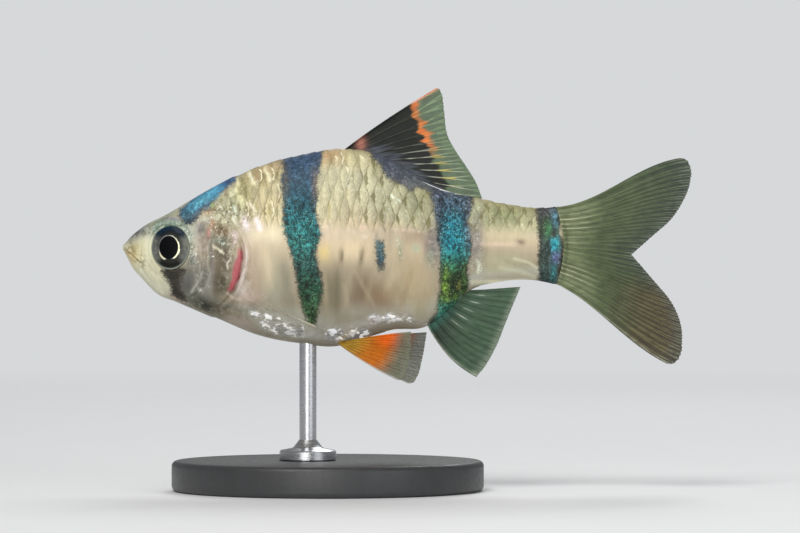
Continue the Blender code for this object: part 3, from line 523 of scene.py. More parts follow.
marbleLines = [   # marbled silver and brown
    ([(10.3, 3.2), (10.6, 1.4), (10.9, -0.4)], 1.2, 0.8),                 # gill cover
    ([(10.9, -1.0), (10.4, -3.8)], 0.9, 0.35),
    ([(8.4, 3.0), (8.4, -0.5), (8.2, -4.2)], 0.7, 0.3),
    ([(3.3, 1.6), (4.2, 2.35), (5.6, 2.4), (6.6, 1.8), (7.15, 0.6), (7.3, -1.6)], 0.42, 0.9),
    ([(0.5, -0.1), (1.5, -0.9), (2.0, -1.9)], 0.7, 0.75),                 # round the mouth
    ([(0.6, 1.0), (2.6, 1.9), (4.4, 2.9)], 0.45, 0.6),
    ([(6.0, -5.6), (9.0, -6.6), (12.0, -6.9), (15.0, -7.0)], 0.8, 0.4),   # throat
    ([(9.2, 4.0), (11.3, 3.4)], 0.8, 1.0),                                # shoulder
    ([(10.8, 5.2), (12.8, 3.2)], 1.5, 0.5),
    ([(12.2, 0.8), (13.4, -4.8)], 0.4, 0.35),
    ([(32.5, 1.8), (32.6, -1.6)], 0.6, 0.35),
    ([(37.2, 3.4), (37.3, -1.6)], 0.6, 0.35),
]
# where fine bright threads and specks are painted as glints
sparkLines = [
    ([(3.4, 1.9), (5.0, 2.6), (6.6, 2.0), (7.3, 0.9), (7.5, -0.3), (7.3, -1.8)], 0.42, 0.9),   # eye
    ([(9.0, 3.6), (9.3, 2.4), (10.3, 0.6), (9.3, -1.0)], 0.6, 0.8),                           # gill cover
    ([(8.9, -1.5), (8.7, -4.4)], 0.5, 0.5),
    ([(11.3, 1.2), (11.5, -1.0), (11.1, -3.6)], 0.5, 0.4),
    ([(8.0, -1.4), (7.6, -3.6)], 0.5, 0.4),
    ([(10.8, -6.2), (13.0, -6.2)], 0.5, 0.4),
    ([(9.6, 4.4), (12.4, 3.0), (16.0, 3.4)], 1.2, 0.75),
    ([(12.5, 6.2), (16.0, 7.6)], 1.3, 0.6),
    ([(21.0, 9.4), (24.0, 9.6)], 0.6, 0.6),
    ([(21.0, 2.6), (26.0, 3.4)], 0.8, 0.6),
    ([(24.0, 6.6), (28.0, 4.6), (33.0, 2.4)], 1.6, 0.55),
    ([(36.9, 4.0), (37.4, 0.6), (37.2, -3.6)], 0.8, 0.6),
    ([(32.5, 1.8), (32.6, -1.6)], 0.6, 0.45),
    ([(29.0, 0.4), (29.2, -1.2)], 0.3, 0.8),
    ([(30.5, -0.2), (31.1, -0.2)], 0.3, 0.9),
    ([(38.0, 3.0), (43.0, 2.4)], 0.9, 0.5),
    ([(12.4, -4.6), (15.2, -5.6)], 0.4, 0.5),
]
silverLines = [   # crumpled silver along the belly, its bright patches partly painted highlight with a painted glow
    ([(13.9, -7.2), (15.6, -7.6)], 0.5, 1.0),
    ([(14.9, -8.2), (16.8, -8.8), (18.7, -9.0)], 0.75, 1.0),
    ([(16.2, -7.7), (17.6, -8.1)], 0.35, 0.7),
    ([(20.3, -9.6), (21.4, -9.8)], 0.3, 0.7),
    ([(20.6, -8.5), (21.9, -8.9)], 0.4, 0.5),
    ([(21.7, -9.3), (23.4, -9.6), (25.4, -9.3)], 0.8, 1.0),
    ([(26.1, -7.8), (28.2, -7.6), (30.2, -7.6)], 0.5, 0.9),
    ([(30.4, -8.1), (32.2, -8.2)], 0.35, 0.5),
]
gleamStrokes = [
    (18.5, -9.0, 4.5, 1.3, -6, 1.0, 0.9), (25.0, -9.0, 4.0, 1.0, 10, 1.0, 0.8),
    (8.5, -1.0, 2.2, 5.0, 0, 0.5, 0.6),
    (28.0, 5.0, 9.0, 4.0, -15, 0.5, 0.7), (14.0, 4.5, 4.0, 4.0, 0, 0.45, 0.7),
    (4.0, 0.0, 3.5, 4.0, 0, 0.25, 0.9),
]


def layLines(colour, x, z, lines):
    for points, width, paint, strength in lines:
        amount = strength * bump(pathDistance(x, z, points), width)
        colour = mix(colour, np.array(paint), amount[..., None])
    return colour


def strongest(x, z, lines):
    amounts = [strength * bump(pathDistance(x, z, points), width) for points, width, strength in lines]
    return np.maximum.reduce(amounts)


def layStrokes(colour, x, z, strokes):
    for cx, cz, length, height, turn, paint, strength in strokes:
        c, s = math.cos(math.radians(turn)), math.sin(math.radians(turn))
        along, across = (x - cx) * c + (z - cz) * s, (z - cz) * c - (x - cx) * s
        amount = strength * np.exp(-((along / length) ** 4 + (across / height) ** 4) ** 0.5)
        colour = mix(colour, np.array(paint), amount[..., None])
    return colour


def byStops(value, stops):
    stops = np.array(stops)
    return np.stack([np.interp(value, stops[:, 0], stops[:, k]) for k in (1, 2, 3)], -1)


def gillColours(colour, x, z):
    # the red seen through the rear of the gill cover, and the white rim behind it
    height = heightAt(x, z)
    behind = x - gillEdgeAt(height) + 0.05 * np.sin(2.7 * z + 0.6) + 0.03 * np.sin(6.1 * z)
    low = smoothStep(-4.9, -4.5, z) * smoothStep(0.1, -0.7, z)
    thick = 0.34 + 0.36 * bump(z + 2.4, 1.5)
    red = low * smoothStep(-thick - 0.1, -thick + 0.1, behind) * (1 - smoothStep(0.05, 0.2, behind))
    rim = smoothStep(-4.6, -3.6, z) * smoothStep(0.8, -1.0, z) * bump(behind - 0.42, 0.2)
    colour = mix(colour, np.array(gillRed), red[..., None])
    return mix(colour, np.array(gillRim), 0.85 * rim[..., None])


def markings(x, z):
    # colour attributes of a place on the flank: flesh with its gleam, and bar tint with its shine
    flesh = layStrokes(byStops(heightAt(x, z), fleshByHeight), x, z, fleshStrokes)
    flesh = layLines(gillColours(flesh, x, z), x, z, fleshLines)
    gleam = layStrokes(np.full(x.shape + (1,), 0.35), x, z, gleamStrokes)
    edge, tint = np.full(x.shape, -9.0), np.zeros(x.shape + (4,))
    for bar in bars:
        inside = insideBy(x, z, bar["outline"])
        nearer = inside > edge
        shine = bar["shine"] * mix(1.0, 0.5, smoothStep(3.5, 6.5, z))
        own = np.concatenate([byStops(z, bar["tints"]), shine[..., None]], -1)
        tint = np.where(nearer[..., None], own, tint)
        edge = np.maximum(edge, inside)
    tint[..., :3] = layStrokes(tint[..., :3], x, z, barStrokes)
    values = {
        "barEdge": edge, "spark": strongest(x, z, sparkLines), "silver": strongest(x, z, silverLines),
        "marble": strongest(x, z, marbleLines),
    }
    return {"flesh": np.concatenate([flesh, gleam], -1), "barTint": tint}, values


# Shader helpers

def feed(tree, inputs, given):
    # sets each input to a value, or links it to another node's socket
    for name, value in given.items():
        if isinstance(value, bpy.types.NodeSocket):
            tree.links.new(value, inputs[name])
        else:
            inputs[name].default_value = value


def addNode(tree, kind, inputs=None, **settings):
    node = tree.nodes.new("ShaderNode" + kind)
    for name, value in settings.items():
        setattr(node, name, value)
    feed(tree, node.inputs, inputs or {})
    return node


def calc(tree, operation, a, b=0.0, clamp=False):
    return addNode(tree, "Math", {0: a, 1: b}, operation=operation, use_clamp=clamp).outputs[0]


def times(tree, a, b):
    return calc(tree, "MULTIPLY", a, b)


def plus(tree, a, b):
    return calc(tree, "ADD", a, b)


def less(tree, a, b):
    return calc(tree, "SUBTRACT", a, b)


def awayFrom(tree, value, middle):
    return calc(tree, "ABSOLUTE", less(tree, value, middle))


def ramp(tree, value, low, high, start=0.0, end=1.0):
    inputs = {"Value": value, "From Min": low, "From Max": high, "To Min": start, "To Max": end}
    return addNode(tree, "MapRange", inputs, interpolation_type="SMOOTHSTEP").outputs[0]


def blendColour(tree, amount, a, b, way="MIX"):
    node = addNode(tree, "Mix", {0: amount, 6: a, 7: b}, data_type="RGBA", blend_type=way)
    return node.outputs[2]


def grey(tree, value):
    return addNode(tree, "CombineColor", {"Red": value, "Green": value, "Blue": value}).outputs[0]


def shaded(tree, colour, value):
    # a colour made lighter or darker by a value
    return blendColour(tree, 1.0, colour, grey(tree, value), "MULTIPLY")


def noiseAt(tree, place, scale, detail=3.0, rough=0.55):
    inputs = {"Vector": place, "Scale": scale, "Detail": detail, "Roughness": rough}
    return addNode(tree, "TexNoise", inputs).outputs[0]


def ownPlace(tree):
    return addNode(tree, "TexCoord").outputs["Object"]


def stretched(tree, place, *scale):
    return addNode(tree, "Mapping", {"Vector": place, "Scale": scale}).outputs[0]


def cellsAt(tree, place, scale):
    # distances and random numbers, three for each cell
    cells = addNode(tree, "TexVoronoi", {"Vector": place, "Scale": scale}).outputs
    return cells["Distance"], addNode(tree, "SeparateColor", {"Color": cells["Color"]}).outputs


def newGroup(name, inputs, outputs):
    tree = bpy.data.node_groups.new(name, "ShaderNodeTree")
    for socket, kind, value in inputs:
        made = tree.interface.new_socket(socket, in_out="INPUT", socket_type="NodeSocket" + kind)
        made.default_value = value
    for socket, kind in outputs:
        tree.interface.new_socket(socket, in_out="OUTPUT", socket_type="NodeSocket" + kind)
    given, result = tree.nodes.new("NodeGroupInput"), tree.nodes.new("NodeGroupOutput")
    return tree, given.outputs, result.inputs


def useGroup(tree, group, inputs):
    node = tree.nodes.new("ShaderNodeGroup")
    node.node_tree = group
    feed(tree, node.inputs, inputs)
    return node.outputs


def newMaterial(name, **fixed):
    # sockets of the shader that keep one value are named with _ for a space
    material = bpy.data.materials.new(name)
    material.use_nodes = True
    shader = material.node_tree.nodes["Principled BSDF"]
    for socket, value in fixed.items():
        shader.inputs[socket.replace("_", " ")].default_value = value
    return material, material.node_tree, shader


def attribute(tree, name, output="Color"):
    return addNode(tree, "Attribute", attribute_name=name).outputs[output]


def buildBarPaint():
    # dark iridescent bars: a ragged edge, a dark ground and fine bright specks
    tree, given, result = newGroup(
        "barPaint",
        [("Flesh", "Color", (1, 1, 1, 1)), ("Edge", "Float", -9.0), ("Tint", "Color", (0, 0, 0, 1)),
         ("Shine", "Float", 0.5), ("Raggedness", "Float", 0.9)],
        [("Color", "Color"), ("Mask", "Float"), ("Specks", "Float")],
    )
    place = ownPlace(tree)
    tall = stretched(tree, place, 1.0, 1.0, 0.5)
    slow = less(tree, noiseAt(tree, tall, 620, 3.0, 0.6), 0.5)
    quick = less(tree, noiseAt(tree, place, 2900, 4.0, 0.75), 0.5)
    grain = less(tree, noiseAt(tree, place, 5600, 2.0, 0.6), 0.5)
    rough = plus(tree, times(tree, slow, 0.9), times(tree, quick, 0.8))
    rough = plus(tree, rough, times(tree, grain, 0.9))
    ragged = plus(tree, given["Edge"], times(tree, rough, given["Raggedness"]))
    ragged = plus(tree, ragged, 0.1)
    distance, cell = cellsAt(tree, place, 5600.0)
    stray = plus(tree, times(tree, given["Edge"], 0.28), grain)
    mask = calc(tree, "MAXIMUM", ramp(tree, ragged, -0.3, 0.2), ramp(tree, stray, 0.06, 0.18, 0.0, 0.5))
    speck = times(tree, calc(tree, "POWER", cell[0], 1.3), ramp(tree, distance, 0.7, 0.2))
    deep = ramp(tree, ragged, 0.02, 0.42)
    depth = ramp(tree, given["Shine"], 0.1, 0.8, 0.3, 1.0)
    cloud = times(tree, ramp(tree, noiseAt(tree, tall, 1100, 4.0, 0.7), 0.38, 0.60), deep)
    lit = times(tree, times(tree, speck, cloud), given["Shine"])
    broad = ramp(tree, noiseAt(tree, tall, 1000, 3.0), 0.38, 0.62, 0.7, 1.2)
    clumps = ramp(tree, noiseAt(tree, place, 2300, 3.0, 0.6), 0.40, 0.60, 0.45, 1.45)
    fineTone = ramp(tree, noiseAt(tree, tall, 4200, 5.0, 0.8), 0.38, 0.62, 0.22, 1.45)
    shadeNoise = times(tree, times(tree, fineTone, clumps), broad)
    shadeNoise = plus(tree, 1.0, times(tree, less(tree, shadeNoise, 1.0), depth))
    dark = shaded(tree, given["Tint"], shadeNoise)
    border = blendColour(tree, 0.55, (0.075, 0.070, 0.050, 1), dark)
    fringe = blendColour(tree, deep, border, dark)
    bright = blendColour(tree, 1.0, given["Tint"], (4.2, 3.6, 3.2, 1), "MULTIPLY")
    paler = blendColour(tree, times(tree, cell[1], 0.4), bright, (0.42, 0.72, 0.56, 1))
    barColour = blendColour(tree, lit, fringe, paler)
    tree.links.new(blendColour(tree, mask, given["Flesh"], barColour), result["Color"])
    tree.links.new(mask, result["Mask"])
    tree.links.new(times(tree, lit, mask), result["Specks"])
    return tree


def buildMottle():
    # uneven tone at two sizes, and a fine grain for the bump
    tree, given, result = newGroup(
        "softMottle",
        [("Color", "Color", (1, 1, 1, 1)), ("Amount", "Float", 0.15), ("Size", "Float", 900.0)],
        [("Color", "Color"), ("Grain", "Float")],
    )
    place = ownPlace(tree)
    tall = stretched(tree, place, 1.0, 1.0, 0.4)
    broad = noiseAt(tree, tall, given["Size"], 4.0)
    fine = noiseAt(tree, place, times(tree, given["Size"], 6.0), 2.0)
    upright = stretched(tree, place, 1.0, 1.0, 0.08)
    lines = noiseAt(tree, upright, times(tree, given["Size"], 2.6), 3.0)
    tone = plus(tree, times(tree, broad, 1.2), times(tree, fine, 0.5))
    tone = plus(tree, tone, times(tree, lines, 0.7))
    tone = times(tree, less(tree, tone, 1.2), given["Amount"])
    tree.links.new(shaded(tree, given["Color"], plus(tree, tone, 1.0)), result["Color"])
    tree.links.new(fine, result["Grain"])
    return tree


def buildFinTissue():
    # a thin skin between bony rays, with the rays' joints as faint bars
    tree, given, result = newGroup(
        "finTissue",
        [("Skin Color", "Color", (1, 1, 1, 1)), ("Ray Color", "Color", (1, 1, 1, 1)), ("Ray", "Float", 0.0),
         ("Veil", "Float", 0.6), ("Ray Veil", "Float", 0.3), ("Along", "Float", 0.0),
         ("Joint Gap", "Float", 0.36)],
        [("Color", "Color"), ("Alpha", "Float"), ("Height", "Float")],
    )
    turn = calc(tree, "FRACT", calc(tree, "DIVIDE", given["Along"], given["Joint Gap"]))
    joint = ramp(tree, awayFrom(tree, turn, 0.5), 0.02, 0.14, 0.55, 1.0)
    place = ownPlace(tree)
    patchy = ramp(tree, noiseAt(tree, place, 700, 4.0), 0.3, 0.75, 0.72, 1.25)
    skin = shaded(tree, given["Skin Color"], patchy)
    streaky = stretched(tree, place, 0.35, 1.0, 1.0)
    uneven = ramp(tree, noiseAt(tree, streaky, 2600, 3.0), 0.3, 0.62, 0.45, 1.0)
    ray = times(tree, given["Ray"], uneven)
    tree.links.new(blendColour(tree, ray, skin, given["Ray Color"]), result["Color"])
    alpha = calc(tree, "ADD", given["Veil"], times(tree, ray, given["Ray Veil"]), clamp=True)
    tree.links.new(alpha, result["Alpha"])
    tree.links.new(times(tree, ray, joint), result["Height"])
    return tree


def buildGlints():
    # marbling, fine bright threads and specks painted as glints, and broken silver patches with dark gaps,
    # their bright leaves partly painted highlight
    tree, given, result = newGroup(
        "silverGlints",
        [("Color", "Color", (1, 1, 1, 1)), ("Speck Color", "Color", (0.80, 0.82, 0.66, 1)),
         ("Marble", "Float", 0.0), ("Spark", "Float", 0.0), ("Silver", "Float", 0.0)],
        [("Color", "Color"), ("Shine", "Float"), ("Lit Foil", "Float"), ("Painted Glow", "Float"),
         ("Height", "Float")],
    )
    place = ownPlace(tree)
    veins = noiseAt(tree, place, 1700, 6.0, 0.72)
    dark = times(tree, ramp(tree, veins, 0.53, 0.44), given["Marble"])
    light = times(tree, ramp(tree, veins, 0.51, 0.60), given["Marble"])
    deeper = blendColour(tree, 1.0, given["Color"], (0.30, 0.26, 0.18, 1), "MULTIPLY")
    colour = blendColour(tree, times(tree, dark, 0.85), given["Color"], deeper)
    lighter = blendColour(tree, 0.55, given["Color"], (0.70, 0.70, 0.58, 1))
    colour = blendColour(tree, times(tree, light, 0.75), colour, lighter)
    # fine bright threads and specks: painted glints
    thread = awayFrom(tree, noiseAt(tree, place, 1500, 5.0, 0.7), 0.5)
    broken = times(tree, ramp(tree, noiseAt(tree, place, 2600, 2.0), 0.52, 0.60), given["Spark"])
    thread = times(tree, ramp(tree, thread, 0.022, 0.004), broken)
    distance, cell = cellsAt(tree, place, 4400.0)
    picked = plus(tree, cell[0], times(tree, given["Spark"], 0.16))
    speck = times(tree, ramp(tree, picked, 1.0, 1.06), ramp(tree, distance, 0.5, 0.1))
    bright = calc(tree, "MAXIMUM", thread, speck)
    dotty = times(tree, calc(tree, "POWER", given["Spark"], 3.0), 0.12)
    dot = ramp(tree, less(tree, dotty, cell[1]), 0.0, 0.05)
    wide = stretched(tree, place, 0.8, 1.0, 1.25)
    folds = noiseAt(tree, wide, 900, 2.0, 0.5)
    crumple = less(tree, noiseAt(tree, wide, 2800, 4.0, 0.65), 0.5)
    shifts = addNode(tree, "TexNoise", {"Vector": wide, "Scale": 1900.0, "Detail": 3.0}).outputs["Color"]
    shifted = {0: shifts, 1: (0.0006, 0.0006, 0.0006), 2: wide}
    shifted = addNode(tree, "VectorMath", shifted, operation="MULTIPLY_ADD").outputs[0]
    chip = cellsAt(tree, shifted, 2300.0)[1]
    # the silver patches: real silver, with bright leaves painted lighter as highlights
    litFoil = plus(tree, times(tree, folds, 0.6), times(tree, crumple, 0.5))
    litFoil = plus(tree, litFoil, times(tree, less(tree, chip[0], 0.5), 0.16))
    sheen = ramp(tree, given["Silver"], 0.0, 0.7)
    litFoil = plus(tree, litFoil, times(tree, given["Silver"], 0.3))
    patch = times(tree, ramp(tree, litFoil, 0.46, 0.57), sheen)
    gaps = times(tree, ramp(tree, litFoil, 0.46, 0.34), sheen)
    colour = blendColour(tree, times(tree, sheen, 0.6), colour, (0.56, 0.54, 0.48, 1))
    colour = blendColour(tree, times(tree, gaps, 0.6), colour, (0.24, 0.22, 0.18, 1))
    colour = blendColour(tree, times(tree, dot, 0.5), colour, (0.13, 0.11, 0.12, 1))
    # bright silver leaves painted as highlights, warm to cool from cell to cell
    litLeaf = blendColour(tree, chip[2], (1.0, 0.95, 0.82, 1), (0.86, 0.92, 1.0, 1))
    litLeaf = blendColour(tree, ramp(tree, chip[1], 0.05, 0.6), (0.55, 0.54, 0.50, 1), litLeaf)
    colour = blendColour(tree, patch, colour, litLeaf)
    # the painted glints take the speck colour
    tinted = blendColour(tree, times(tree, cell[2], 0.6), given["Speck Color"], (0.34, 0.58, 0.50, 1))
    colour = blendColour(tree, times(tree, bright, 0.9), colour, tinted)
    tree.links.new(colour, result["Color"])
    tree.links.new(bright, result["Shine"])
    # a painted glow on the bright silver leaves and the glints
    paintedGlow = times(tree, ramp(tree, patch, 0.3, 1.0), ramp(tree, chip[1], 0.3, 0.8, 0.05, 1.6))
    tree.links.new(calc(tree, "MAXIMUM", paintedGlow, times(tree, bright, 0.4)), result["Painted Glow"])
    tree.links.new(patch, result["Lit Foil"])
    rumpled = times(tree, plus(tree, folds, times(tree, crumple, 0.6)), given["Silver"])
    height = plus(tree, times(tree, rumpled, 3.0), times(tree, veins, given["Marble"]))
    tree.links.new(height, result["Height"])
    return tree


barPaint = buildBarPaint()
silverGlints = buildGlints()
softMottle = buildMottle()
finTissue = buildFinTissue()


def paintedFlesh(tree, shader, flesh, settings):
    # what the skin and the scales share: mottle, bars, gleam, painted glints with a painted glow, and bump
    mottled = useGroup(tree, softMottle, {
        "Color": flesh, "Amount": settings["mottle"], "Size": settings["mottleSize"],
    })
    glints = useGroup(tree, silverGlints, {
        "Color": mottled["Color"], "Marble": attribute(tree, "marble", "Fac"),
        "Spark": attribute(tree, "spark", "Fac"), "Silver": attribute(tree, "silver", "Fac"),
    })
    bar = addNode(tree, "Attribute", attribute_name="barTint")
    painted = useGroup(tree, barPaint, {
        "Flesh": glints["Color"], "Edge": attribute(tree, "barEdge", "Fac"), "Tint": bar.outputs["Color"],
        "Shine": bar.outputs["Alpha"],
    })
    tree.links.new(painted["Color"], shader.inputs["Base Color"])
    bare = less(tree, 1.0, times(tree, painted["Mask"], 0.85))
    tree.links.new(times(tree, bare, settings["coat"]), shader.inputs["Coat Weight"])
    gleam = attribute(tree, "flesh", "Alpha")
    metal = times(tree, gleam, settings["metal"])
    metal = calc(tree, "ADD", metal, times(tree, painted["Specks"], 0.4), clamp=True)
    metal = calc(tree, "ADD", metal, times(tree, glints["Shine"], 0.4), clamp=True)
    metal = calc(tree, "ADD", metal, times(tree, glints["Lit Foil"], 0.45), clamp=True)
    tree.links.new(metal, shader.inputs["Metallic"])
    rough = ramp(tree, gleam, 0.0, 1.0, settings["dull"], settings["glossy"])
    # painted glow: emission that brightens the silver patches and the glints
    paintedGlow = times(tree, glints["Painted Glow"], settings["paintedGlow"])
    tree.links.new(grey(tree, paintedGlow), shader.inputs["Emission Color"])
    polish = less(tree, 1.0, times(tree, glints["Lit Foil"], 0.4))
    tree.links.new(times(tree, rough, polish), shader.inputs["Roughness"])
    return plus(tree, mottled["Grain"], times(tree, glints["Height"], 2.0))


def addBump(tree, shader, height, strength, distance):
    node = addNode(tree, "Bump", {"Height": height, "Strength": strength, "Distance": distance})
    tree.links.new(node.outputs[0], shader.inputs["Normal"])


# The skin: one surface from the lips to the root of the tail fin
skinLook = {
    "mottle": 0.4, "mottleSize": 900.0,
    "metal": 0.25, "dull": 0.5, "glossy": 0.38, "coat": 0.2, "paintedGlow": 0.5,
    "rings": [(0.0, 0.0), (13.0, 175.0), (45.9, 320.0)], "around": 300, "scaleDepth": 0.17,
}
headForm = {
    "headInset": 0.02,
    "eye": (4.96, -0.16), "eyeHalf": (1.97, 2.23), "orbitDepth": 1.5,
    "rimHeight": 0.08, "rimAt": 0.2, "rimWidth": 0.16,
    "mouth": [(-0.2, -0.1), (0.7, -0.75), (1.5, -1.5)], "mouthDepth": 0.14,
    "lipHeight": 0.1, "lipWidth": 0.3,
    "jaw": [(1.6, -1.6), (2.15, -2.75), (3.0, -4.35)], "jawDepth": 0.07,
    "nostrils": [(2.15, 1.3, 0.17), (2.6, 1.45, 0.14)], "nostrilDepth": 0.26,
    "cheekRidge": [
        (-5.6, 6.6), (-4.6, 7.9), (-2.4, 8.55), (-0.4, 8.75), (0.9, 8.6), (2.6, 7.98), (3.4, 7.9),
    ],
    "coverFront": [(0.1, 8.35), (0.25, 8.3), (0.42, 8.65), (0.55, 8.75), (0.7, 8.5), (0.78, 8.75)],
    "coverRaised": 0.13, "slitDepth": 0.42,
}
cheekRidgeAt = smoothLine(headForm["cheekRidge"])
coverFrontAt = smoothLine(headForm["coverFront"])


def scaleFrontAt(height):
    # where the scales begin: behind the gill opening, and behind the blue of the nape
    napeFront = np.interp(height, [0.0, 0.15, 0.62, 0.8, 1.0], [9.0, 9.0, 11.9, 11.3, 11.6])
    return np.maximum(gillEdgeAt(height) + 0.75, napeFront)


def headRelief(x, z):
    form = headForm
    height = heightAt(x, z)
    out = np.full(x.shape, -form["headInset"])
    wide, tall = form["eyeHalf"]
    beyond = (np.hypot((x - form["eye"][0]) / wide, (z - form["eye"][1]) / tall) - 1) * 2.1
    out += form["rimHeight"] * bump(beyond - form["rimAt"], form["rimWidth"])
    out -= form["orbitDepth"] * smoothStep(0.1, -0.12, beyond)
    out -= 0.05 * bump(beyond - 1.0, 0.2) * smoothStep(0.3, -0.6, z)
    mouth = pathDistance(x, z, form["mouth"])
    out += form["lipHeight"] * bump(mouth - 0.16, form["lipWidth"] / 2)
    out -= form["mouthDepth"] * bump(mouth, 0.09)
    out -= form["jawDepth"] * bump(pathDistance(x, z, form["jaw"]), 0.15)
    for nx, nz, size in form["nostrils"]:
        near = np.hypot(x - nx, z - nz)
        out += 0.05 * bump(near - size * 1.5, size * 0.6) - form["nostrilDepth"] * bump(near, size * 0.8)
    ridge = x - cheekRidgeAt(z)
    window = smoothStep(-5.6, -4.9, z) * smoothStep(3.4, 2.6, z)
    out += window * (0.08 * bump(ridge + 0.1, 0.17) - 0.10 * bump(ridge - 0.22, 0.13))
    behind = x - gillEdgeAt(height)
    gill = smoothStep(0.09, 0.2, height) * smoothStep(0.84, 0.74, height)
    gill = gill * mix(0.25, 1.0, smoothStep(1.6, 0.2, z))
    plate = smoothStep(0.0, 0.8, x - coverFrontAt(height)) * smoothStep(0.06, -0.04, behind)
    slit = form["slitDepth"] * bump(behind - 0.2, 0.13) * mix(0.15, 1.0, smoothStep(-5.4, -4.4, z))
    out += gill * (form["coverRaised"] * plate - slit + 0.05 * bump(behind - 0.7, 0.3))
    return out


def skinRelief(x, z):
    height = heightAt(x, z)
    scaled = smoothStep(-0.3, 0.5, x - scaleFrontAt(height))
    return mix(headRelief(x, z), -skinLook["scaleDepth"], scaled)


def surfaceNormals(points):
    # outward normals of a grid of points, its first axis back along the fish, its second round it
    normals = np.cross(np.gradient(points, axis=1), np.gradient(points, axis=0))
    return normals / np.maximum(np.linalg.norm(normals, axis=-1, keepdims=True), 1e-9)


def buildSkin(material):
    look = skinLook
    places, counts = np.array(look["rings"]).T
    along = np.interp(np.arange(counts[-1] + 1), counts, places)[:, None]
    turns = (2 * np.pi * np.arange(look["around"]) / look["around"])[None, :]
    height = (1 + np.cos(turns)) / 2
    x = along + tailShift(height) * smoothStep(36.0, body["stalkEnd"], along)
    z = mix(bellyAt(x), backAt(x), height)
    width = sectionWidth(x, height) * np.where(np.abs(np.sin(turns)) < 1e-6, 0.0, 1.0)
    width = width * endWidth(along)
    points = np.stack([x, -width * np.sign(np.sin(turns)), z], -1)
    wrapped = np.concatenate([points[:, -3:], points, points[:, :3]], 1)
    normals = surfaceNormals(wrapped)[:, 3:-3]
    normals[0] = normals[1]
    points = points + normals * (skinRelief(x, z) * smoothStep(0.0, 0.5, along))[..., None]
    nose = []
    for share in (0.9, 0.72, 0.45, 0.15):
        ring = points[0].copy()
        centre = ring.mean(0)
        ring = centre + (ring - centre) * share
        ring[:, 0] -= 0.16 * math.sqrt(1 - share * share)
        nose.insert(0, ring)
    points = np.concatenate([np.array(nose), points])
    rows, around = points.shape[:2]
    faces = gridFaces(rows, around, around=True, flip=True)
    faces.append(list(range(around)))
    faces.append(list(range((rows - 1) * around, rows * around))[::-1])
    colours, values = markings(points[..., 0], points[..., 2])
    covered = ("head", "lower_jaw", "trunk", "tail_stalk", "gill_cover_left", "gill_cover_right")
    makePiece("skin", points, faces, material, values, colours, covered)


def skinMaterial():
    fixed = {"Coat_Roughness": 0.2, "Specular_IOR_Level": 0.3, "Emission_Strength": 1.0}
    material, tree, shader = newMaterial("barbSkin", **fixed)
    grain = paintedFlesh(tree, shader, attribute(tree, "flesh"), skinLook)
    addBump(tree, shader, grain, 0.25, 0.00005)
    return material


buildSkin(skinMaterial())

# Scales: rows of overlapping plates, counted up and down from the lateral line
scaleLook = {
    "pitch": [(9.0, 1.32), (23.4, 1.32), (25.4, 1.66), (33.0, 1.66), (38.0, 1.35), (45.0, 1.25)],
    "rowStep": [(9.0, 2.05), (24.0, 2.05), (34.0, 1.7), (39.0, 1.2), (48.0, 1.1)],
    "length": 1.9, "rootLift": -0.19, "tipLift": 0.0, "thick": 0.02, "dome": 0.015,
    "along": 10, "across": 13, "patch": 0.003,
    "mottle": 0.22, "mottleSize": 1300.0,
    "metal": 0.25, "dull": 0.55, "glossy": 0.45, "coat": 0.15, "paintedGlow": 0.3,
    "streak": (0.22, 0.20, 0.09, 1.0), "gap": (0.42, 0.36, 0.18, 1.0), "plate": (0.93, 0.91, 0.80, 1.0),
    "rimGlintColour": (1.0, 0.93, 0.62, 1.0),
}


def bodyTable():
    # the flank by x and by the distance up from the lateral line, carried on over the back and keel
    xs, reach = np.arange(9.0, 48.4, 0.1), np.arange(-16.0, 16.01, 0.05)
    turns = np.linspace(-0.9, np.pi + 0.9, 900)
    points = np.zeros((len(xs), len(reach), 3))
    ends = np.zeros((len(xs), 2))
    for i, x in enumerate(xs):
        height = (1 + np.cos(turns)) / 2
        z = mix(bellyAt(x), backAt(x), height)
        y = -sectionWidth(x, height) * np.sign(np.sin(turns))
        length = np.concatenate([[0], np.cumsum(np.hypot(np.diff(y), np.diff(z)))])
        start = np.interp(np.arccos(2 * heightAt(x, lateralAt(x)) - 1), turns, length)
        up = start - length
        points[i, :, 0] = x
        points[i, :, 1] = np.interp(reach, up[::-1], y[::-1])
        points[i, :, 2] = np.interp(reach, up[::-1], z[::-1])
        ends[i] = np.interp([np.pi, 0.0], turns, up)
    return xs, reach, points, surfaceNormals(points[:, ::-1])[:, ::-1], ends


tableX, tableReach, tablePoints, tableNormals, tableEnds = bodyTable()


def onFlank(x, reach):
    # point and outward normal of the body at x and a distance from the lateral line
    i = np.clip((x - tableX[0]) / 0.1, 0, len(tableX) - 1.001)
    j = np.clip((reach - tableReach[0]) / 0.05, 0, len(tableReach) - 1.001)
    i0, j0 = i.astype(int), j.astype(int)
    u, v = (i - i0)[..., None], (j - j0)[..., None]
    found = []
    for table in (tablePoints, tableNormals):
        low = mix(table[i0, j0], table[i0, j0 + 1], v)
        found.append(mix(low, mix(table[i0 + 1, j0], table[i0 + 1, j0 + 1], v), u))
    return found[0], found[1] / np.linalg.norm(found[1], axis=-1, keepdims=True)


def rowStepAt(x):
    return np.interp(x, *np.array(scaleLook["rowStep"]).T)


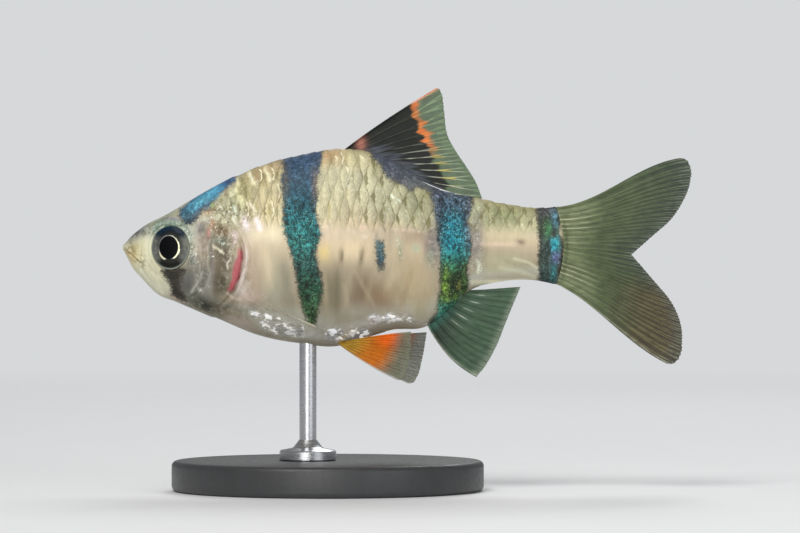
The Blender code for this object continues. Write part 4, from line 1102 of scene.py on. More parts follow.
def scaleRoots():
    # root places of one side's scales, as (x, row)
    pitchAt = lambda at: np.interp(at, *np.array(scaleLook["pitch"]).T)
    roots = []
    for row in range(-7, 8):
        x = 7.6
        while x < 45.2:
            shift = 0.5 * pitchAt(x) * (row % 2)
            middle = x + shift + 1.9
            reach = row * rowStepAt(middle)
            low, high = (np.interp(middle, tableX, tableEnds[:, k]) for k in (0, 1))
            if low + 0.55 < reach < high - 0.55:
                point = onFlank(np.array([middle]), np.array([float(reach)]))[0][0]
                front = scaleFrontAt(heightAt(middle, point[2]))
                if x + shift + 0.6 > front and x + shift + 1.9 * pitchAt(x) < 46.1:
                    roots.append((x + shift, row))
            x += pitchAt(x)
    return np.array(roots)


def buildScales(name, side, material, roots, seed):
    look = scaleLook
    random = np.random.default_rng(seed)
    a = np.linspace(0, 1, look["along"])[None, :, None]
    v = np.linspace(-1, 1, look["across"])[None, None, :]
    rootX, row = roots[:, 0][:, None, None], roots[:, 1][:, None, None]
    pitch = np.interp(rootX, *np.array(look["pitch"]).T)
    length = look["length"] * pitch
    front, rear = 0.2 * v ** 2, 1 - 0.26 * (v ** 2 + 0.02) ** 0.65
    local = (front + a * (rear - front)) * length
    wobble = random.normal(0, 0.05, rootX.shape)
    x = rootX + local
    tall = rowStepAt(x) * (1 - 0.1 * (1 - a) ** 2)
    reach = row * rowStepAt(x) + v * tall + wobble
    points, normals = onFlank(x, reach)
    z = points[..., 2]
    above = z - lateralAt(x) - 1.0 * smoothStep(36.0, 38.5, x)
    lively = mix(0.1, 0.8, smoothStep(-0.6, 1.6, above))
    slope = mix(look["rootLift"], look["tipLift"], local / length)
    lift = -0.13 + lively * (slope + 0.13) - look["dome"] * lively * v ** 2
    lift = lift + random.normal(0, 0.012, rootX.shape) * lively
    top = points + normals * lift[..., None]
    under = top - normals * (look["thick"] * (1 - 0.55 * a))[..., None]
    if side > 0:
        top, under = top * (1, -1, 1), under * (1, -1, 1)
    na, nv = look["along"], look["across"]
    each = np.stack([top, under], 1)
    one = gridFaces(na, nv, flip=side < 0) + gridFaces(na, nv, na * nv, flip=side > 0)
    one += rimFaces(na, nv, flip=side < 0)
    firsts = (np.arange(len(roots)) * 2 * na * nv)[:, None, None]
    faces = (np.array(one)[None] + firsts).reshape(-1, 4).tolist()
    colours, values = markings(x, z)
    ink = smoothStep(-0.1, 1.3, above)
    dazzle = smoothStep(0.8, 0.97, colours["flesh"][..., 0])
    values["ink"] = ink * (0.8 + 0.4 * random.random(rootX.shape)) * (1 - dazzle)
    values["exposed"], values["across"] = 1 - (length - local) / pitch, v + 0 * a
    values["tone"] = random.random(rootX.shape)
    contrast = mix(mix(0.75, 0.35, smoothStep(16.0, 17.5, x)), 1.1, smoothStep(23.0, 26.5, x))
    values["streaks"] = contrast * (0.6 + 0.6 * random.random(rootX.shape))
    # which scales get a painted highlight along their free edge, and how strongly
    glinting = np.maximum(smoothStep(17.2, 15.5, x), 0.8 * bump(x - 22.5, 2.2) * smoothStep(6.5, 8.5, z))
    picked = smoothStep(0.4, 0.9, random.random(rootX.shape))
    values["rim"] = smoothStep(1.5, 3.0, z) * mix(0.25, 1.0, glinting) * picked
    piece = makePiece(
        name, each, faces, material,
        {key: np.stack([np.broadcast_to(data, x.shape)] * 2, 1) for key, data in values.items()},
        {key: np.stack([data, data], 1) for key, data in colours.items()},
    )
    piece.data.set_sharp_from_angle(angle=math.radians(50))
    rootU = 0.02 + 0.96 * (rootX - 8.0) / 40.0
    rootV = 0.5 + row * 0.055
    u = rootU + (a - 0.5) * look["patch"] + 0 * v
    w = rootV + v * look["patch"] / 2 + 0 * a
    uv = np.stack([np.stack([u, w], -1), np.stack([u, w], -1)], 1).reshape(-1, 2)
    layer = piece.data.uv_layers.new(name="OFBake")
    corners = np.zeros(len(piece.data.loops), np.int32)
    piece.data.loops.foreach_get("vertex_index", corners)
    layer.data.foreach_set("uv", uv[corners].astype(np.float32).ravel())
    return piece


def scaleMaterial():
    look = scaleLook
    fixed = {"Coat_Roughness": 0.25, "Specular_IOR_Level": 0.3, "Emission_Strength": 1.0}
    material, tree, shader = newMaterial("barbScales", **fixed)
    ink = attribute(tree, "ink", "Fac")
    tone = times(tree, less(tree, attribute(tree, "tone", "Fac"), 0.5), 0.26)
    tone = plus(tree, times(tree, tone, plus(tree, ink, 0.1)), 1.0)
    flesh = shaded(tree, attribute(tree, "flesh"), tone)
    exposed, across = attribute(tree, "exposed", "Fac"), attribute(tree, "across", "Fac")
    place = ownPlace(tree)
    jitter = times(tree, less(tree, noiseAt(tree, place, 2600, 4.0), 0.5), 0.4)

    def reachFrom(middle, halfLength, high, halfTall, power):
        # 0 in the middle of a lozenge or oval on the scale, 1 on its edge
        along = calc(tree, "DIVIDE", less(tree, plus(tree, exposed, jitter), middle), halfLength)
        up = calc(tree, "DIVIDE", less(tree, across, high), halfTall)
        along, up = (calc(tree, "POWER", calc(tree, "ABSOLUTE", part), power) for part in (along, up))
        return plus(tree, along, up)

    fromMiddle = reachFrom(0.5, 0.44, 0.0, 0.88, 1.3)
    plate = ramp(tree, fromMiddle, 1.3, 0.65)
    covered = ramp(tree, exposed, -0.3, 0.05)
    gap = times(tree, less(tree, 1.0, plate), covered)
    gap = times(tree, gap, ramp(tree, exposed, 0.3, 0.7, 0.3, 1.0))
    gap = times(tree, gap, ramp(tree, attribute(tree, "streaks", "Fac"), 0.0, 1.0, 0.2, 0.9))
    cell = blendColour(tree, gap, look["plate"], look["gap"])
    # painted light and shade across each scale: lighter at its front, darker towards its free edge
    side = ramp(tree, exposed, 0.25, 1.0, 1.16, 0.76)
    cell = shaded(tree, cell, side)
    lines = stretched(tree, place, 1.0, 1.0, 0.2)
    lines = ramp(tree, noiseAt(tree, lines, 5600, 4.0, 0.7), 0.32, 0.68, 0.80, 1.15)
    cell = shaded(tree, cell, lines)
    flesh = blendColour(tree, ink, flesh, blendColour(tree, 1.0, flesh, cell, "MULTIPLY"))
    strength = times(tree, attribute(tree, "streaks", "Fac"), ink)
    streak = times(tree, ramp(tree, reachFrom(0.08, 0.17, -0.05, 0.56, 2.0), 1.3, 0.4), strength)
    flesh = blendColour(tree, calc(tree, "MULTIPLY", streak, 0.95, True), flesh, look["streak"])
    # a painted highlight along the free edge of the picked scales
    rim = ramp(tree, awayFrom(tree, fromMiddle, 0.85), 0.24, 0.08)
    rim = times(tree, rim, ramp(tree, exposed, 0.52, 0.66))
    rim = times(tree, rim, ramp(tree, awayFrom(tree, across, 0.12), 0.5, 0.34))
    flesh = blendColour(tree, times(tree, rim, attribute(tree, "rim", "Fac")), flesh, look["rimGlintColour"])
    grain = paintedFlesh(tree, shader, flesh, look)
    rings = times(tree, calc(tree, "SINE", times(tree, exposed, 60.0)), 0.2)
    addBump(tree, shader, plus(tree, grain, rings), 0.3, 0.00004)
    return material


coatMaterial = scaleMaterial()
flankRoots = scaleRoots()
print("scales on each side:", len(flankRoots))
buildScales("scalesLeft", -1, coatMaterial, flankRoots, 3)
buildScales("scalesRight", 1, coatMaterial, flankRoots, 8)

# Eyes: a flat dome in its orbit, dark iris, black pupil and a broken pale gold ring
eyeLook = {
    "centre": (4.96, -0.16), "half": (2.0, 2.26), "rise": 0.34, "sunk": 0.06, "depth": 1.3,
    "pupil": (4.82, -0.10), "pupilHalf": (1.02, 1.22), "rings": 56, "around": 144,
}


def buildEye(name, side, material, node):
    look = eyeLook
    cx, cz = look["centre"]
    r = np.linspace(0.01, 1.0, look["rings"])[:, None]
    turn = (2 * np.pi * np.arange(look["around"]) / look["around"])[None, :]
    wide, tall = look["half"]
    x, z = cx + wide * r * np.cos(turn), cz + tall * r * np.sin(turn)
    w0 = float(widthAtPoint(cx, cz))
    slopeX = float(widthAtPoint(cx + 0.8, cz) - widthAtPoint(cx - 0.8, cz)) / 1.6
    slopeZ = float(widthAtPoint(cx, cz + 0.8) - widthAtPoint(cx, cz - 0.8)) / 1.6
    plane = w0 + slopeX * (x - cx) + slopeZ * (z - cz)
    front = plane - look["sunk"] + look["rise"] * (1 - r ** 2)
    rearR = np.array([0.97, 0.8, 0.5, 0.02])[:, None]
    rearX, rearZ = cx + wide * rearR * np.cos(turn), cz + tall * rearR * np.sin(turn)
    rearPlane = w0 + slopeX * (rearX - cx) + slopeZ * (rearZ - cz)
    rear = rearPlane - look["sunk"] - look["depth"] * np.sqrt(1 - rearR ** 2) - 0.1
    xs, zs, ys = np.concatenate([x, rearX]), np.concatenate([z, rearZ]), np.concatenate([front, rear])
    points = np.stack([xs, side * ys, zs], -1)
    rows, around = xs.shape
    faces = gridFaces(rows, around, around=True, flip=side > 0)
    faces.append(list(range(around))[:: -1 if side < 0 else 1])
    faces.append(list(range((rows - 1) * around, rows * around))[:: 1 if side < 0 else -1])
    px, pz = look["pupil"]
    pupil = np.hypot((xs - px) / look["pupilHalf"][0], (zs - pz) / look["pupilHalf"][1])
    angle = np.degrees(np.arctan2(zs - pz, xs - px))
    glow = np.interp(angle, [-180, -155, -130, -108, -98, -80, -62, -20, 30, 60, 90, 130, 160, 180],
                     [0.05, 0.5, 0.95, 0.7, -0.1, -0.1, 0.8, 1.0, 0.8, 0.5, 0.3, 0.25, 0.1, 0.05])
    edge = np.hypot((xs - cx) / wide, (zs - cz) / tall)
    values = {"pupil": pupil, "glow": glow, "edge": edge, "high": (zs - cz) / tall}
    makePiece(name, points, faces, material, values, {}, (node,))


def eyeMaterial():
    fixed = {"Roughness": 0.45, "Specular_IOR_Level": 0.08, "Coat_Weight": 0.07, "Coat_Roughness": 0.03}
    material, tree, shader = newMaterial("barbEye", **fixed)
    pupil, edge = attribute(tree, "pupil", "Fac"), attribute(tree, "edge", "Fac")
    high = attribute(tree, "high", "Fac")
    place = ownPlace(tree)
    fibre = noiseAt(tree, place, 1600, 4.0)
    fibre = ramp(tree, fibre, 0.35, 0.65)
    iris = blendColour(tree, fibre, (0.085, 0.09, 0.085, 1), (0.17, 0.175, 0.15, 1))
    upward = calc(tree, "DIVIDE", high, calc(tree, "MAXIMUM", edge, 0.05))
    iris = blendColour(tree, ramp(tree, upward, 0.35, 0.85), iris, (0.006, 0.010, 0.012, 1))
    navy = times(tree, ramp(tree, upward, 0.45, 0.75), ramp(tree, edge, 0.72, 0.95))
    iris = blendColour(tree, navy, iris, (0.003, 0.018, 0.040, 1))
    iris = blendColour(tree, ramp(tree, upward, -0.45, -0.9), iris, (0.008, 0.008, 0.006, 1))
    iris = blendColour(tree, times(tree, ramp(tree, edge, 0.8, 0.62), 0.6), iris, (0.03, 0.03, 0.026, 1))
    below = ramp(tree, upward, 0.75, 0.25)
    for start, end, paler in ((0.88, 0.97, (0.13, 0.15, 0.13, 1)), (0.955, 0.985, (0.34, 0.36, 0.28, 1))):
        iris = blendColour(tree, times(tree, ramp(tree, edge, start, end), below), iris, paler)
    glow = attribute(tree, "glow", "Fac")
    broken = ramp(tree, noiseAt(tree, place, 2600, 3.0), 0.35, 0.6, 0.5, 1.0)
    outer = less(tree, pupil, times(tree, times(tree, glow, broken), 0.17))
    ring = times(tree, ramp(tree, pupil, 0.97, 1.01), ramp(tree, outer, 1.07, 1.0))
    ring = times(tree, ring, ramp(tree, glow, -0.1, 0.4))
    pale = blendColour(tree, ramp(tree, glow, 0.2, 0.9), (0.26, 0.27, 0.28, 1), (0.92, 0.88, 0.62, 1))
    colour = blendColour(tree, ring, iris, pale)
    colour = blendColour(tree, ramp(tree, pupil, 1.02, 0.96), colour, (0.001, 0.001, 0.002, 1))
    tree.links.new(colour, shader.inputs["Base Color"])
    tree.links.new(times(tree, ring, 0.5), shader.inputs["Metallic"])
    addBump(tree, shader, ring, 0.3, 0.00005)
    return material


glassEye = eyeMaterial()
buildEye("eyeLeft", -1, glassEye, "eye_left")
buildEye("eyeRight", 1, glassEye, "eye_right")

# Fins: a thin skin stretched between branching rays
fins = {
    "dorsal": {
        "rays": 12, "perRay": 22, "rows": 64, "thin": 1.0,
        "bow": ((0.25, 0.15), (-0.25, -0.3)), "branch": (0.42, 0.75),
        "edge": [
            (0.0, 32.9, 16.75), (0.03, 33.35, 16.65), (0.06, 33.6, 16.1), (0.12, 33.78, 14.8),
            (0.3, 34.1, 12.1), (0.5, 35.0, 10.2), (0.7, 36.2, 8.4),
            (0.87, 37.25, 6.65), (1.0, 37.85, 5.05),
        ],
    },
    "anal": {
        "rays": 9, "perRay": 24, "rows": 56, "thin": 0.5,
        "bow": ((-0.75, -0.85), (-0.05, 0.0)), "branch": (0.3, 0.65),
        "edge": [
            (0.0, 37.2, -13.8), (0.13, 38.05, -12.8), (0.35, 39.3, -10.6), (0.6, 40.3, -8.1),
            (0.82, 41.2, -5.9),
            (1.0, 41.9, -4.25),
        ],
    },
    "tailUpper": {
        "rays": 10, "perRay": 28, "rows": 96, "thin": 0.75, "wraps": 1.0, "sunk": -0.02,
        "bow": ((-1.25, 1.1), (0.0, 0.0)), "branch": (0.1, 0.36),
        "edge": [
            (0.0, 58.75, 9.36), (0.02, 59.25, 9.28), (0.045, 59.68, 8.95), (0.08, 59.9, 8.35),
            (0.2, 59.87, 6.9),
            (0.4, 59.1, 4.8), (0.6, 57.75, 2.8), (0.8, 55.9, 1.15), (1.0, 53.62, -0.87),
        ],
    },
    "tailLower": {
        "rays": 10, "perRay": 28, "rows": 96, "thin": 0.75, "wraps": 1.0, "sunk": -0.02,
        "bow": ((0.75, -0.9), (0.0, 0.0)), "branch": (0.1, 0.36),
        "edge": [
            (0.0, 57.4, -12.4), (0.025, 57.95, -12.42), (0.06, 58.5, -12.1), (0.1, 58.85, -11.4),
            (0.2, 59.0, -10.1),
            (0.4, 58.8, -8.0), (0.6, 57.8, -5.8), (0.8, 55.9, -3.5), (1.0, 53.62, -0.85),
        ],
    },
    "pelvicLeft": {
        "rays": 9, "perRay": 22, "rows": 48, "thin": 0.3,
        "bow": ((-0.3, -0.3), (0.1, 0.1)), "branch": (0.3, 0.6),
        "edge": [
            (0.0, 28.9, -14.0), (0.08, 29.4, -13.9), (0.2, 29.8, -13.2), (0.5, 30.2, -11.6),
            (1.0, 30.3, -8.9),
        ],
    },
    "pectoral": {
        "rays": 11, "perRay": 16, "rows": 44, "thin": 1.0,
        "bow": ((0.25, 0.2), (-0.1, 0.0)), "branch": (0.4, 0.75),
        "edge": [
            (0.0, 20.3, -8.3), (0.12, 20.45, -8.75), (0.45, 19.3, -9.6), (0.8, 17.6, -9.9),
            (1.0, 16.2, -9.7),
        ],
    },
}
fins["pelvicRight"] = {
    **fins["pelvicLeft"],
    "edge": [
        (0.0, 30.0, -14.55), (0.08, 30.5, -14.5), (0.2, 30.95, -13.9), (0.5, 31.5, -12.0),
        (1.0, 32.0, -9.1),
    ],
}
finForm = {
    "skinHalf": 0.045, "rayHalf": 0.10, "rayTip": 0.04, "firstRay": 0.26, "notch": 0.008, "sunk": -0.07,
}


def rayProfile(shape, s, t):
    # how near a place is to the middle of a ray or of one of its branches, from 0 to 1
    place = s * (shape["rays"] - 1)
    place = np.where(place > shape["rays"] - 1.5, np.minimum(place, shape["rays"] - 1.0), place)
    q = place - np.round(place)
    first, second = shape["branch"]
    outer = 0.24 * smoothStep(first, min(first + 0.55, 1.1), t)
    inner = 0.115 * smoothStep(second, 1.1, t)
    width = mix(0.10, 0.05, smoothStep(0.0, 0.5, t))
    spots = [q - a * outer - b * inner for a in (-1, 1) for b in (-1, 1)]
    thin = np.maximum.reduce([bump(spot, width) for spot in spots])
    gap = bump(np.abs(q) - 0.5, 0.09)
    gap = np.maximum(gap, 0.85 * smoothStep(first, first + 0.12, t) * bump(q, 0.055))
    gap = np.maximum(gap, 0.7 * smoothStep(second, second + 0.15, t) * bump(np.abs(q) - 0.26, 0.04))
    return mix(1 - gap, thin, shape["thin"])


def finPoints(shape, root, outAt):
    s = np.linspace(0, 1, (shape["rays"] - 1) * shape["perRay"] + 1)[:, None]
    t = np.linspace(shape.get("sunk", finForm["sunk"]), 1, shape["rows"] + 1)[None, :]
    x0, z0 = root(s)
    x1, z1 = (smoothLine([(p[0], p[k]) for p in shape["edge"]])(s) for k in (1, 2))
    ray = rayProfile(shape, s, np.clip(t, 0, 1))
    between = 1 - rayProfile(shape, s, np.ones_like(s))
    notch = 1 - finForm["notch"] * between * smoothStep(0.0, 0.05, s)
    x1, z1 = x0 + (x1 - x0) * notch, z0 + (z1 - z0) * notch
    length = np.hypot(x1 - x0, z1 - z0)
    near = mix(shape["bow"][0][0], shape["bow"][1][0], s)
    far = mix(shape["bow"][0][1], shape["bow"][1][1], s)
    out = 3 * t * (1 - t) * ((1 - t) * near + t * far)
    x = mix(x0, x1, t) + (z0 - z1) / length * out
    z = mix(z0, z1, t) + (x1 - x0) / length * out
    half = finForm["skinHalf"] + ray * mix(finForm["rayHalf"], finForm["rayTip"], np.clip(t, 0, 1))
    firstRay = bump(s * (shape["rays"] - 1), 0.25) * (1 - 0.8 * np.clip(t, 0, 1))
    half = half + finForm["firstRay"] * 0.5 * firstRay
    half = half * (1 - 0.75 * smoothStep(0.9, 1.0, t)) + 0.01
    under = widthAtPoint(x, z) * endWidth(x - tailShift(heightAt(x, z)))
    half = half + (under + 0.02) * smoothStep(0.1, 0.0, t) * shape.get("wraps", 0.0)
    middle = outAt(s, t, x, z)
    return s, t, x, z, middle, half, ray, length


def buildFin(name, shape, root, outAt, paint, material, node):
    s, t, x, z, middle, half, ray, length = finPoints(shape, root, outAt)
    left = np.stack([x, middle - half, z], -1)
    right = np.stack([x, middle + half, z], -1)
    ns, nt = x.shape
    points = np.stack([left, right])
    faces = gridFaces(ns, nt) + gridFaces(ns, nt, ns * nt, flip=True) + rimFaces(ns, nt, flip=True)
    skin, veil, rayColour = paint(s, t, x, z, ray)

    def full(data):
        return np.stack([np.broadcast_to(data, x.shape)] * 2)

    def colour(data, alpha):
        data, alpha = np.broadcast_to(data, x.shape + (3,)), np.broadcast_to(alpha, x.shape)[..., None]
        return np.stack([np.concatenate([data, alpha], -1)] * 2)

    makePiece(
        name, points, faces, material, {"along": full(t * length), "ray": full(ray)},
        {"finSkin": colour(skin, veil), "rayColour": colour(rayColour, ray)}, (node,),
    )


def byWeight(start, *layers):
    # colours laid over each other: (amount, colour), ...
    colour = np.array(start, float)
    for amount, over in layers:
        colour = mix(colour, np.array(over), np.asarray(amount)[..., None])
    return colour


def paintTail(s, t, x, z, ray):
    low = smoothStep(-2.0, -6.0, z)
    t, s = t + 0 * s, s + 0 * t
    lower = z < -0.9
    random = np.random.default_rng(11)
    vary = np.interp(s * 60, np.arange(62), random.uniform(0.35, 1.0, 62))
    skin = byWeight(
        (0.110, 0.140, 0.064), (smoothStep(0.1, 0.4, t), (0.066, 0.090, 0.045)),
        (smoothStep(0.5, 0.95, t), (0.023, 0.039, 0.025)),
        (0.75 * low * smoothStep(0.3, 0.8, t), (0.060, 0.036, 0.018)),
    )
    rays = byWeight(
        (0.18, 0.22, 0.10), (smoothStep(0.2, 0.6, t), (0.115, 0.15, 0.082)),
        (0.55 * low * smoothStep(0.2, 0.7, t), (0.22, 0.16, 0.075)), (smoothStep(0.85, 1.0, t),
        (0.20, 0.22, 0.17)),
        # painted highlights on the rays near the base, uneven from ray to ray
        (vary ** 2 * smoothStep(0.36, 0.04, t), (0.80, 0.80, 0.56)), (lower * bump(s, 0.022),
        (0.50, 0.50, 0.40)),
    )
    veil = 0.92 - 0.12 * smoothStep(0.5, 0.95, t) + 0.08 * smoothStep(0.2, 0.0, t)
    return skin, veil, rays


def paintAnal(s, t, x, z, ray):
    dark = np.exp(-((s / 0.35) ** 2 + ((t - 0.1) / 0.38) ** 2))
    dark = np.maximum(dark, 0.9 * smoothStep(0.22, 0.0, t) * smoothStep(0.75, 0.4, s))
    # painted highlights: short bright streaks on the rays
    near = bump(t - 0.26, 0.12) * smoothStep(0.2, 0.5, s) * bump(np.sin(s * 25.0), 0.5) * ray ** 3
    root = bump(t, 0.09) * smoothStep(0.75, 0.3, s)
    tip = smoothStep(0.85, 1.0, t + 0 * s)
    skin = byWeight(
        (0.042, 0.085, 0.048), (dark, (0.012, 0.018, 0.012)), (0.8 * root, (0.035, 0.11, 0.08)),
        (tip, (0.14, 0.19, 0.13)),
    )
    rays = byWeight(
        (0.09, 0.15, 0.09), (0.85 * dark, (0.04, 0.055, 0.04)), (0.9 * near, (0.62, 0.68, 0.58)),
        (0.8 * root, (0.08, 0.24, 0.18)), (tip, (0.26, 0.30, 0.24)),
        (bump(s, 0.022) + 0 * t, (0.50, 0.52, 0.42)),
    )
    return skin, 0.84 + 0.14 * dark, rays


dorsalBand = smoothLine([
    (6.7, 34.0), (7.9, 33.3), (9.15, 32.7), (10.5, 32.0), (11.3, 31.65), (12.5, 31.2), (13.6, 30.8),
    (14.4, 30.4), (15.4, 29.9),
])


def paintDorsal(s, t, x, z, ray):
    random = np.random.default_rng(5)
    along = np.interp(s * 40, np.arange(42), random.normal(0, 0.22, 42)) + 0.12 * np.sin(z * 7.0 + x)
    past = x - dorsalBand(z) + along
    black = smoothStep(0.25, -0.25, past)
    width = np.interp(s * 40, np.arange(42), random.uniform(0.3, 0.85, 42))
    orange = smoothStep(-0.2, 0.15, past) * smoothStep(width + 0.45, width - 0.25, past)
    orange = orange * smoothStep(9.0, 11.2, z + 0.6 * ray)
    orange = orange * np.interp(s * 30, np.arange(32), random.uniform(0.6, 1.0, 32))
    yellow = smoothStep(-0.3, 0.1, past) * smoothStep(1.6, 0.8, past)
    yellow = yellow * smoothStep(11.0, 9.5, z) * smoothStep(6.0, 7.0, z)
    lead = bump(s, 0.022) * smoothStep(-0.1, 0.3, past)
    origin = 0.7 * bump(x - 25.0, 0.55) * bump(z - 10.9, 0.8)
    ragged = t + 0.07 * np.sin(37 * s) + 0.05 * np.sin(90 * s)
    sheath = smoothStep(0.26, 0.06, ragged) * smoothStep(0.12, 0.3, s)
    # pale rays, painted brighter as highlights
    paleRayHighlight = smoothStep(0.3, 0.55, s) * smoothStep(0.16, 0.3, t) * smoothStep(0.95, 0.6, t)
    skin = byWeight(
        (0.09, 0.15, 0.07), (black, (0.008, 0.010, 0.007)), (orange, (0.80, 0.20, 0.04)),
        (lead, (0.80, 0.32, 0.20)), (0.8 * yellow * ray, (0.50, 0.42, 0.08)),
        (0.6 * sheath, (0.10, 0.11, 0.14)), (0.85 * origin, (0.62, 0.24, 0.17)),
    )
    rays = byWeight(
        (0.26, 0.34, 0.21), (0.95 * black, (0.022, 0.026, 0.018)), (orange, (0.85, 0.28, 0.07)),
        (lead, (0.85, 0.42, 0.28)), (0.85 * paleRayHighlight, (0.74, 0.76, 0.62)), (0.8 * yellow, (0.78, 0.62, 0.12)),
        (0.5 * sheath, (0.22, 0.25, 0.28)), (0.85 * origin, (0.78, 0.34, 0.24)),
    )
    veil = 0.72 + 0.27 * black + 0.2 * orange + 0.2 * lead
    return skin, veil, rays


def paintPelvic(s, t, x, z, ray):
    tip = smoothStep(0.70, 0.98, t + 0.08 * ray + 0.12 * (1 - s))
    base = smoothStep(0.5, 0.1, t + 0 * s)
    upper = smoothStep(0.45, 0.85, s) * smoothStep(0.3, 0.65, t)
    lead = bump(s, 0.045) + 0 * t
    skin = byWeight(
        (0.50, 0.12, 0.006), (0.9 * upper, (0.78, 0.10, 0.006)), (0.9 * base, (0.26, 0.16, 0.012)),
        (tip, (0.18, 0.20, 0.13)), (lead, (0.46, 0.42, 0.34)),
    )
    rays = byWeight(
        (0.60, 0.18, 0.01), (0.8 * upper, (0.84, 0.15, 0.01)), (0.8 * base, (0.50, 0.36, 0.06)),
        (tip, (0.26, 0.25, 0.19)), (lead, (0.56, 0.52, 0.44)),
    )
    return skin, 0.96 - 0.42 * tip, rays


def paintPectoral(s, t, x, z, ray):
    lead = bump(s, 0.05) + 0 * t
    skin = byWeight((0.42, 0.40, 0.32), (lead, (0.66, 0.60, 0.42)))
    return skin, 0.05 + 0.6 * lead + 0 * t, byWeight((0.50, 0.48, 0.38), (lead, (0.72, 0.66, 0.48)))


def finMaterial(name, rough, rayVeil=0.3):
    material, tree, shader = newMaterial(name, Roughness=rough, Specular_IOR_Level=0.2)
    tissue = useGroup(tree, finTissue, {
        "Skin Color": attribute(tree, "finSkin"), "Veil": attribute(tree, "finSkin", "Alpha"),
        "Ray Color": attribute(tree, "rayColour"), "Ray": attribute(tree, "ray", "Fac"),
        "Ray Veil": rayVeil, "Along": attribute(tree, "along", "Fac"),
    })
    tree.links.new(tissue["Color"], shader.inputs["Base Color"])
    tree.links.new(tissue["Alpha"], shader.inputs["Alpha"])
    addBump(tree, shader, tissue["Height"], 0.4, 0.00004)
    return material


def outlineRoot(outline, ends):
    return lambda s: (mix(*ends, s), outline(mix(*ends, s)))


def tailRoot(upper):
    outer, inner = (1.0, 0.5) if upper else (0.0, 0.5)

    def root(s):
        height = mix(outer, inner, s)
        x = body["stalkEnd"] + 0.45 + 0.65 * tailShift(height)
        return x, mix(bellyAt(x), backAt(x), height) * 0.97

    return root


def pelvicRoot(s):
    x = mix(22.5, 24.0, s)
    return x, np.vectorize(undersideAt)(x, 1.3) + 0.1


def pectoralRoot(s):
    x = smoothLine([(0.0, 13.1), (0.5, 13.15), (1.0, 13.3)])(s)
    return x, smoothLine([(0.0, -5.75), (0.5, -6.3), (1.0, -6.85)])(s)


def gentleWave(size, turns):
    return lambda s, t, x, z: size * np.clip(t, 0, 1) ** 1.5 * np.sin(turns * s + 2.2 * t)


def besideBody(side, spread, rootOut, rootX, tuck):
    def outAt(s, t, x, z):
        leaning = rootOut + spread * np.maximum(x - rootX, 0.0) - tuck * (1 - smoothStep(-0.05, 0.25, t))
        clear = (widthAtPoint(x, z) + 0.25) * smoothStep(0.1, 0.3, t)
        return side * np.maximum(leaning, clear)

    return outAt


def buildMiddleFins():
    # the single fins, which stand in the middle plane
    dark, clear = finMaterial("dorsalFinSkin", 0.4), finMaterial("clearFinSkin", 0.42)
    for name, key, node, slot, material, root, wave, paint in (
        ("dorsalFin", "dorsal", "dorsal_fin", "dorsal_fin", dark,
         outlineRoot(backAt, (23.5, 32.4)), (0.12, 5.0), paintDorsal),
        ("analFin", "anal", "anal_fin", "clear_fin", clear,
         outlineRoot(bellyAt, (32.1, 36.9)), (0.12, 4.0), paintAnal),
        ("tailFinUpper", "tailUpper", "tail_fin_upper", "clear_fin", clear,
         tailRoot(True), (0.14, 3.0), paintTail),
        ("tailFinLower", "tailLower", "tail_fin_lower", "clear_fin", clear,
         tailRoot(False), (0.14, 3.0), paintTail),
    ):
        buildFin(name, fins[key], root, gentleWave(*wave), paint, material, node)

def buildPairedFins():
    red, faint = finMaterial("pelvicFinSkin", 0.38), finMaterial("pectoralFinSkin", 0.45, 0.05)
    pectoralOut = float(widthAtPoint(13.15, -6.3)) + 0.775
    for side, word, spread in ((-1, "Left", 0.55), (1, "Right", 0.2)):
        for name, shape, node, slot, material, root, outAt, paint in (
            ("pelvicFin", fins["pelvic" + word], "pelvic_fin_", "pelvic_fin", red, pelvicRoot,
             besideBody(side, spread, 1.3, 22.5, 0.2), paintPelvic),
            ("pectoralFin", fins["pectoral"], "pectoral_fin_", "clear_fin", faint, pectoralRoot,
             besideBody(side, 0.2, pectoralOut, 13.15, 1.0), paintPectoral),
        ):
            buildFin(name + word, shape, root, outAt, paint, material, node + word.lower())


buildMiddleFins()
buildPairedFins()

# Stand: a painted disc and a turned steel rod
standLook = {
    "baseX": -8.5, "baseRadius": 16.5, "baseHeight": 3.2, "baseEdge": 0.6,
    "baseColour": (0.035, 0.036, 0.038, 1.0), "rodX": 19.4, "rodRadius": 0.9, "neckRadius": 1.5,
    "footRadius": 3.0, "footHeight": 0.8, "neckHeight": 1.0, "taperHeight": 1.9,
    "gap": 0.3, "intoBelly": 1.2, "around": 160,
}


def turned(name, centreX, profile, material, node):
    # a lathe shape from (radius, height) points, in the part's own frame
    turns = 2 * np.pi * np.arange(standLook["around"]) / standLook["around"]
    radius, height = np.array(profile).T
    x = centreX + radius[:, None] * np.cos(turns)
    y = radius[:, None] * np.sin(turns)
    z = np.broadcast_to(height[:, None], x.shape)
    points = np.stack([x - body["snoutX"], y, z - body["axisHeight"]], -1)
    rows, around = x.shape
    faces = gridFaces(rows, around, around=True)
    faces.append(list(range(around))[::-1])
    faces.append(list(range((rows - 1) * around, rows * around)))
    piece = makePiece(name, points, faces, material, {}, {}, (node,))
    piece.data.set_sharp_from_angle(angle=math.radians(35))
    return piece


def roundedEdge(radius, low, high, soft):
    # the profile of a disc with both edges rounded
    turn = np.radians(np.linspace(0, 90, 8))
    bottom = [(radius - soft + soft * math.sin(a), low + soft - soft * math.cos(a)) for a in turn]
    top = [(radius - soft + soft * math.cos(a), high - soft + soft * math.sin(a)) for a in turn]
    return [(0.3, low)] + bottom + top + [(radius * 0.5, high), (0.3, high)]


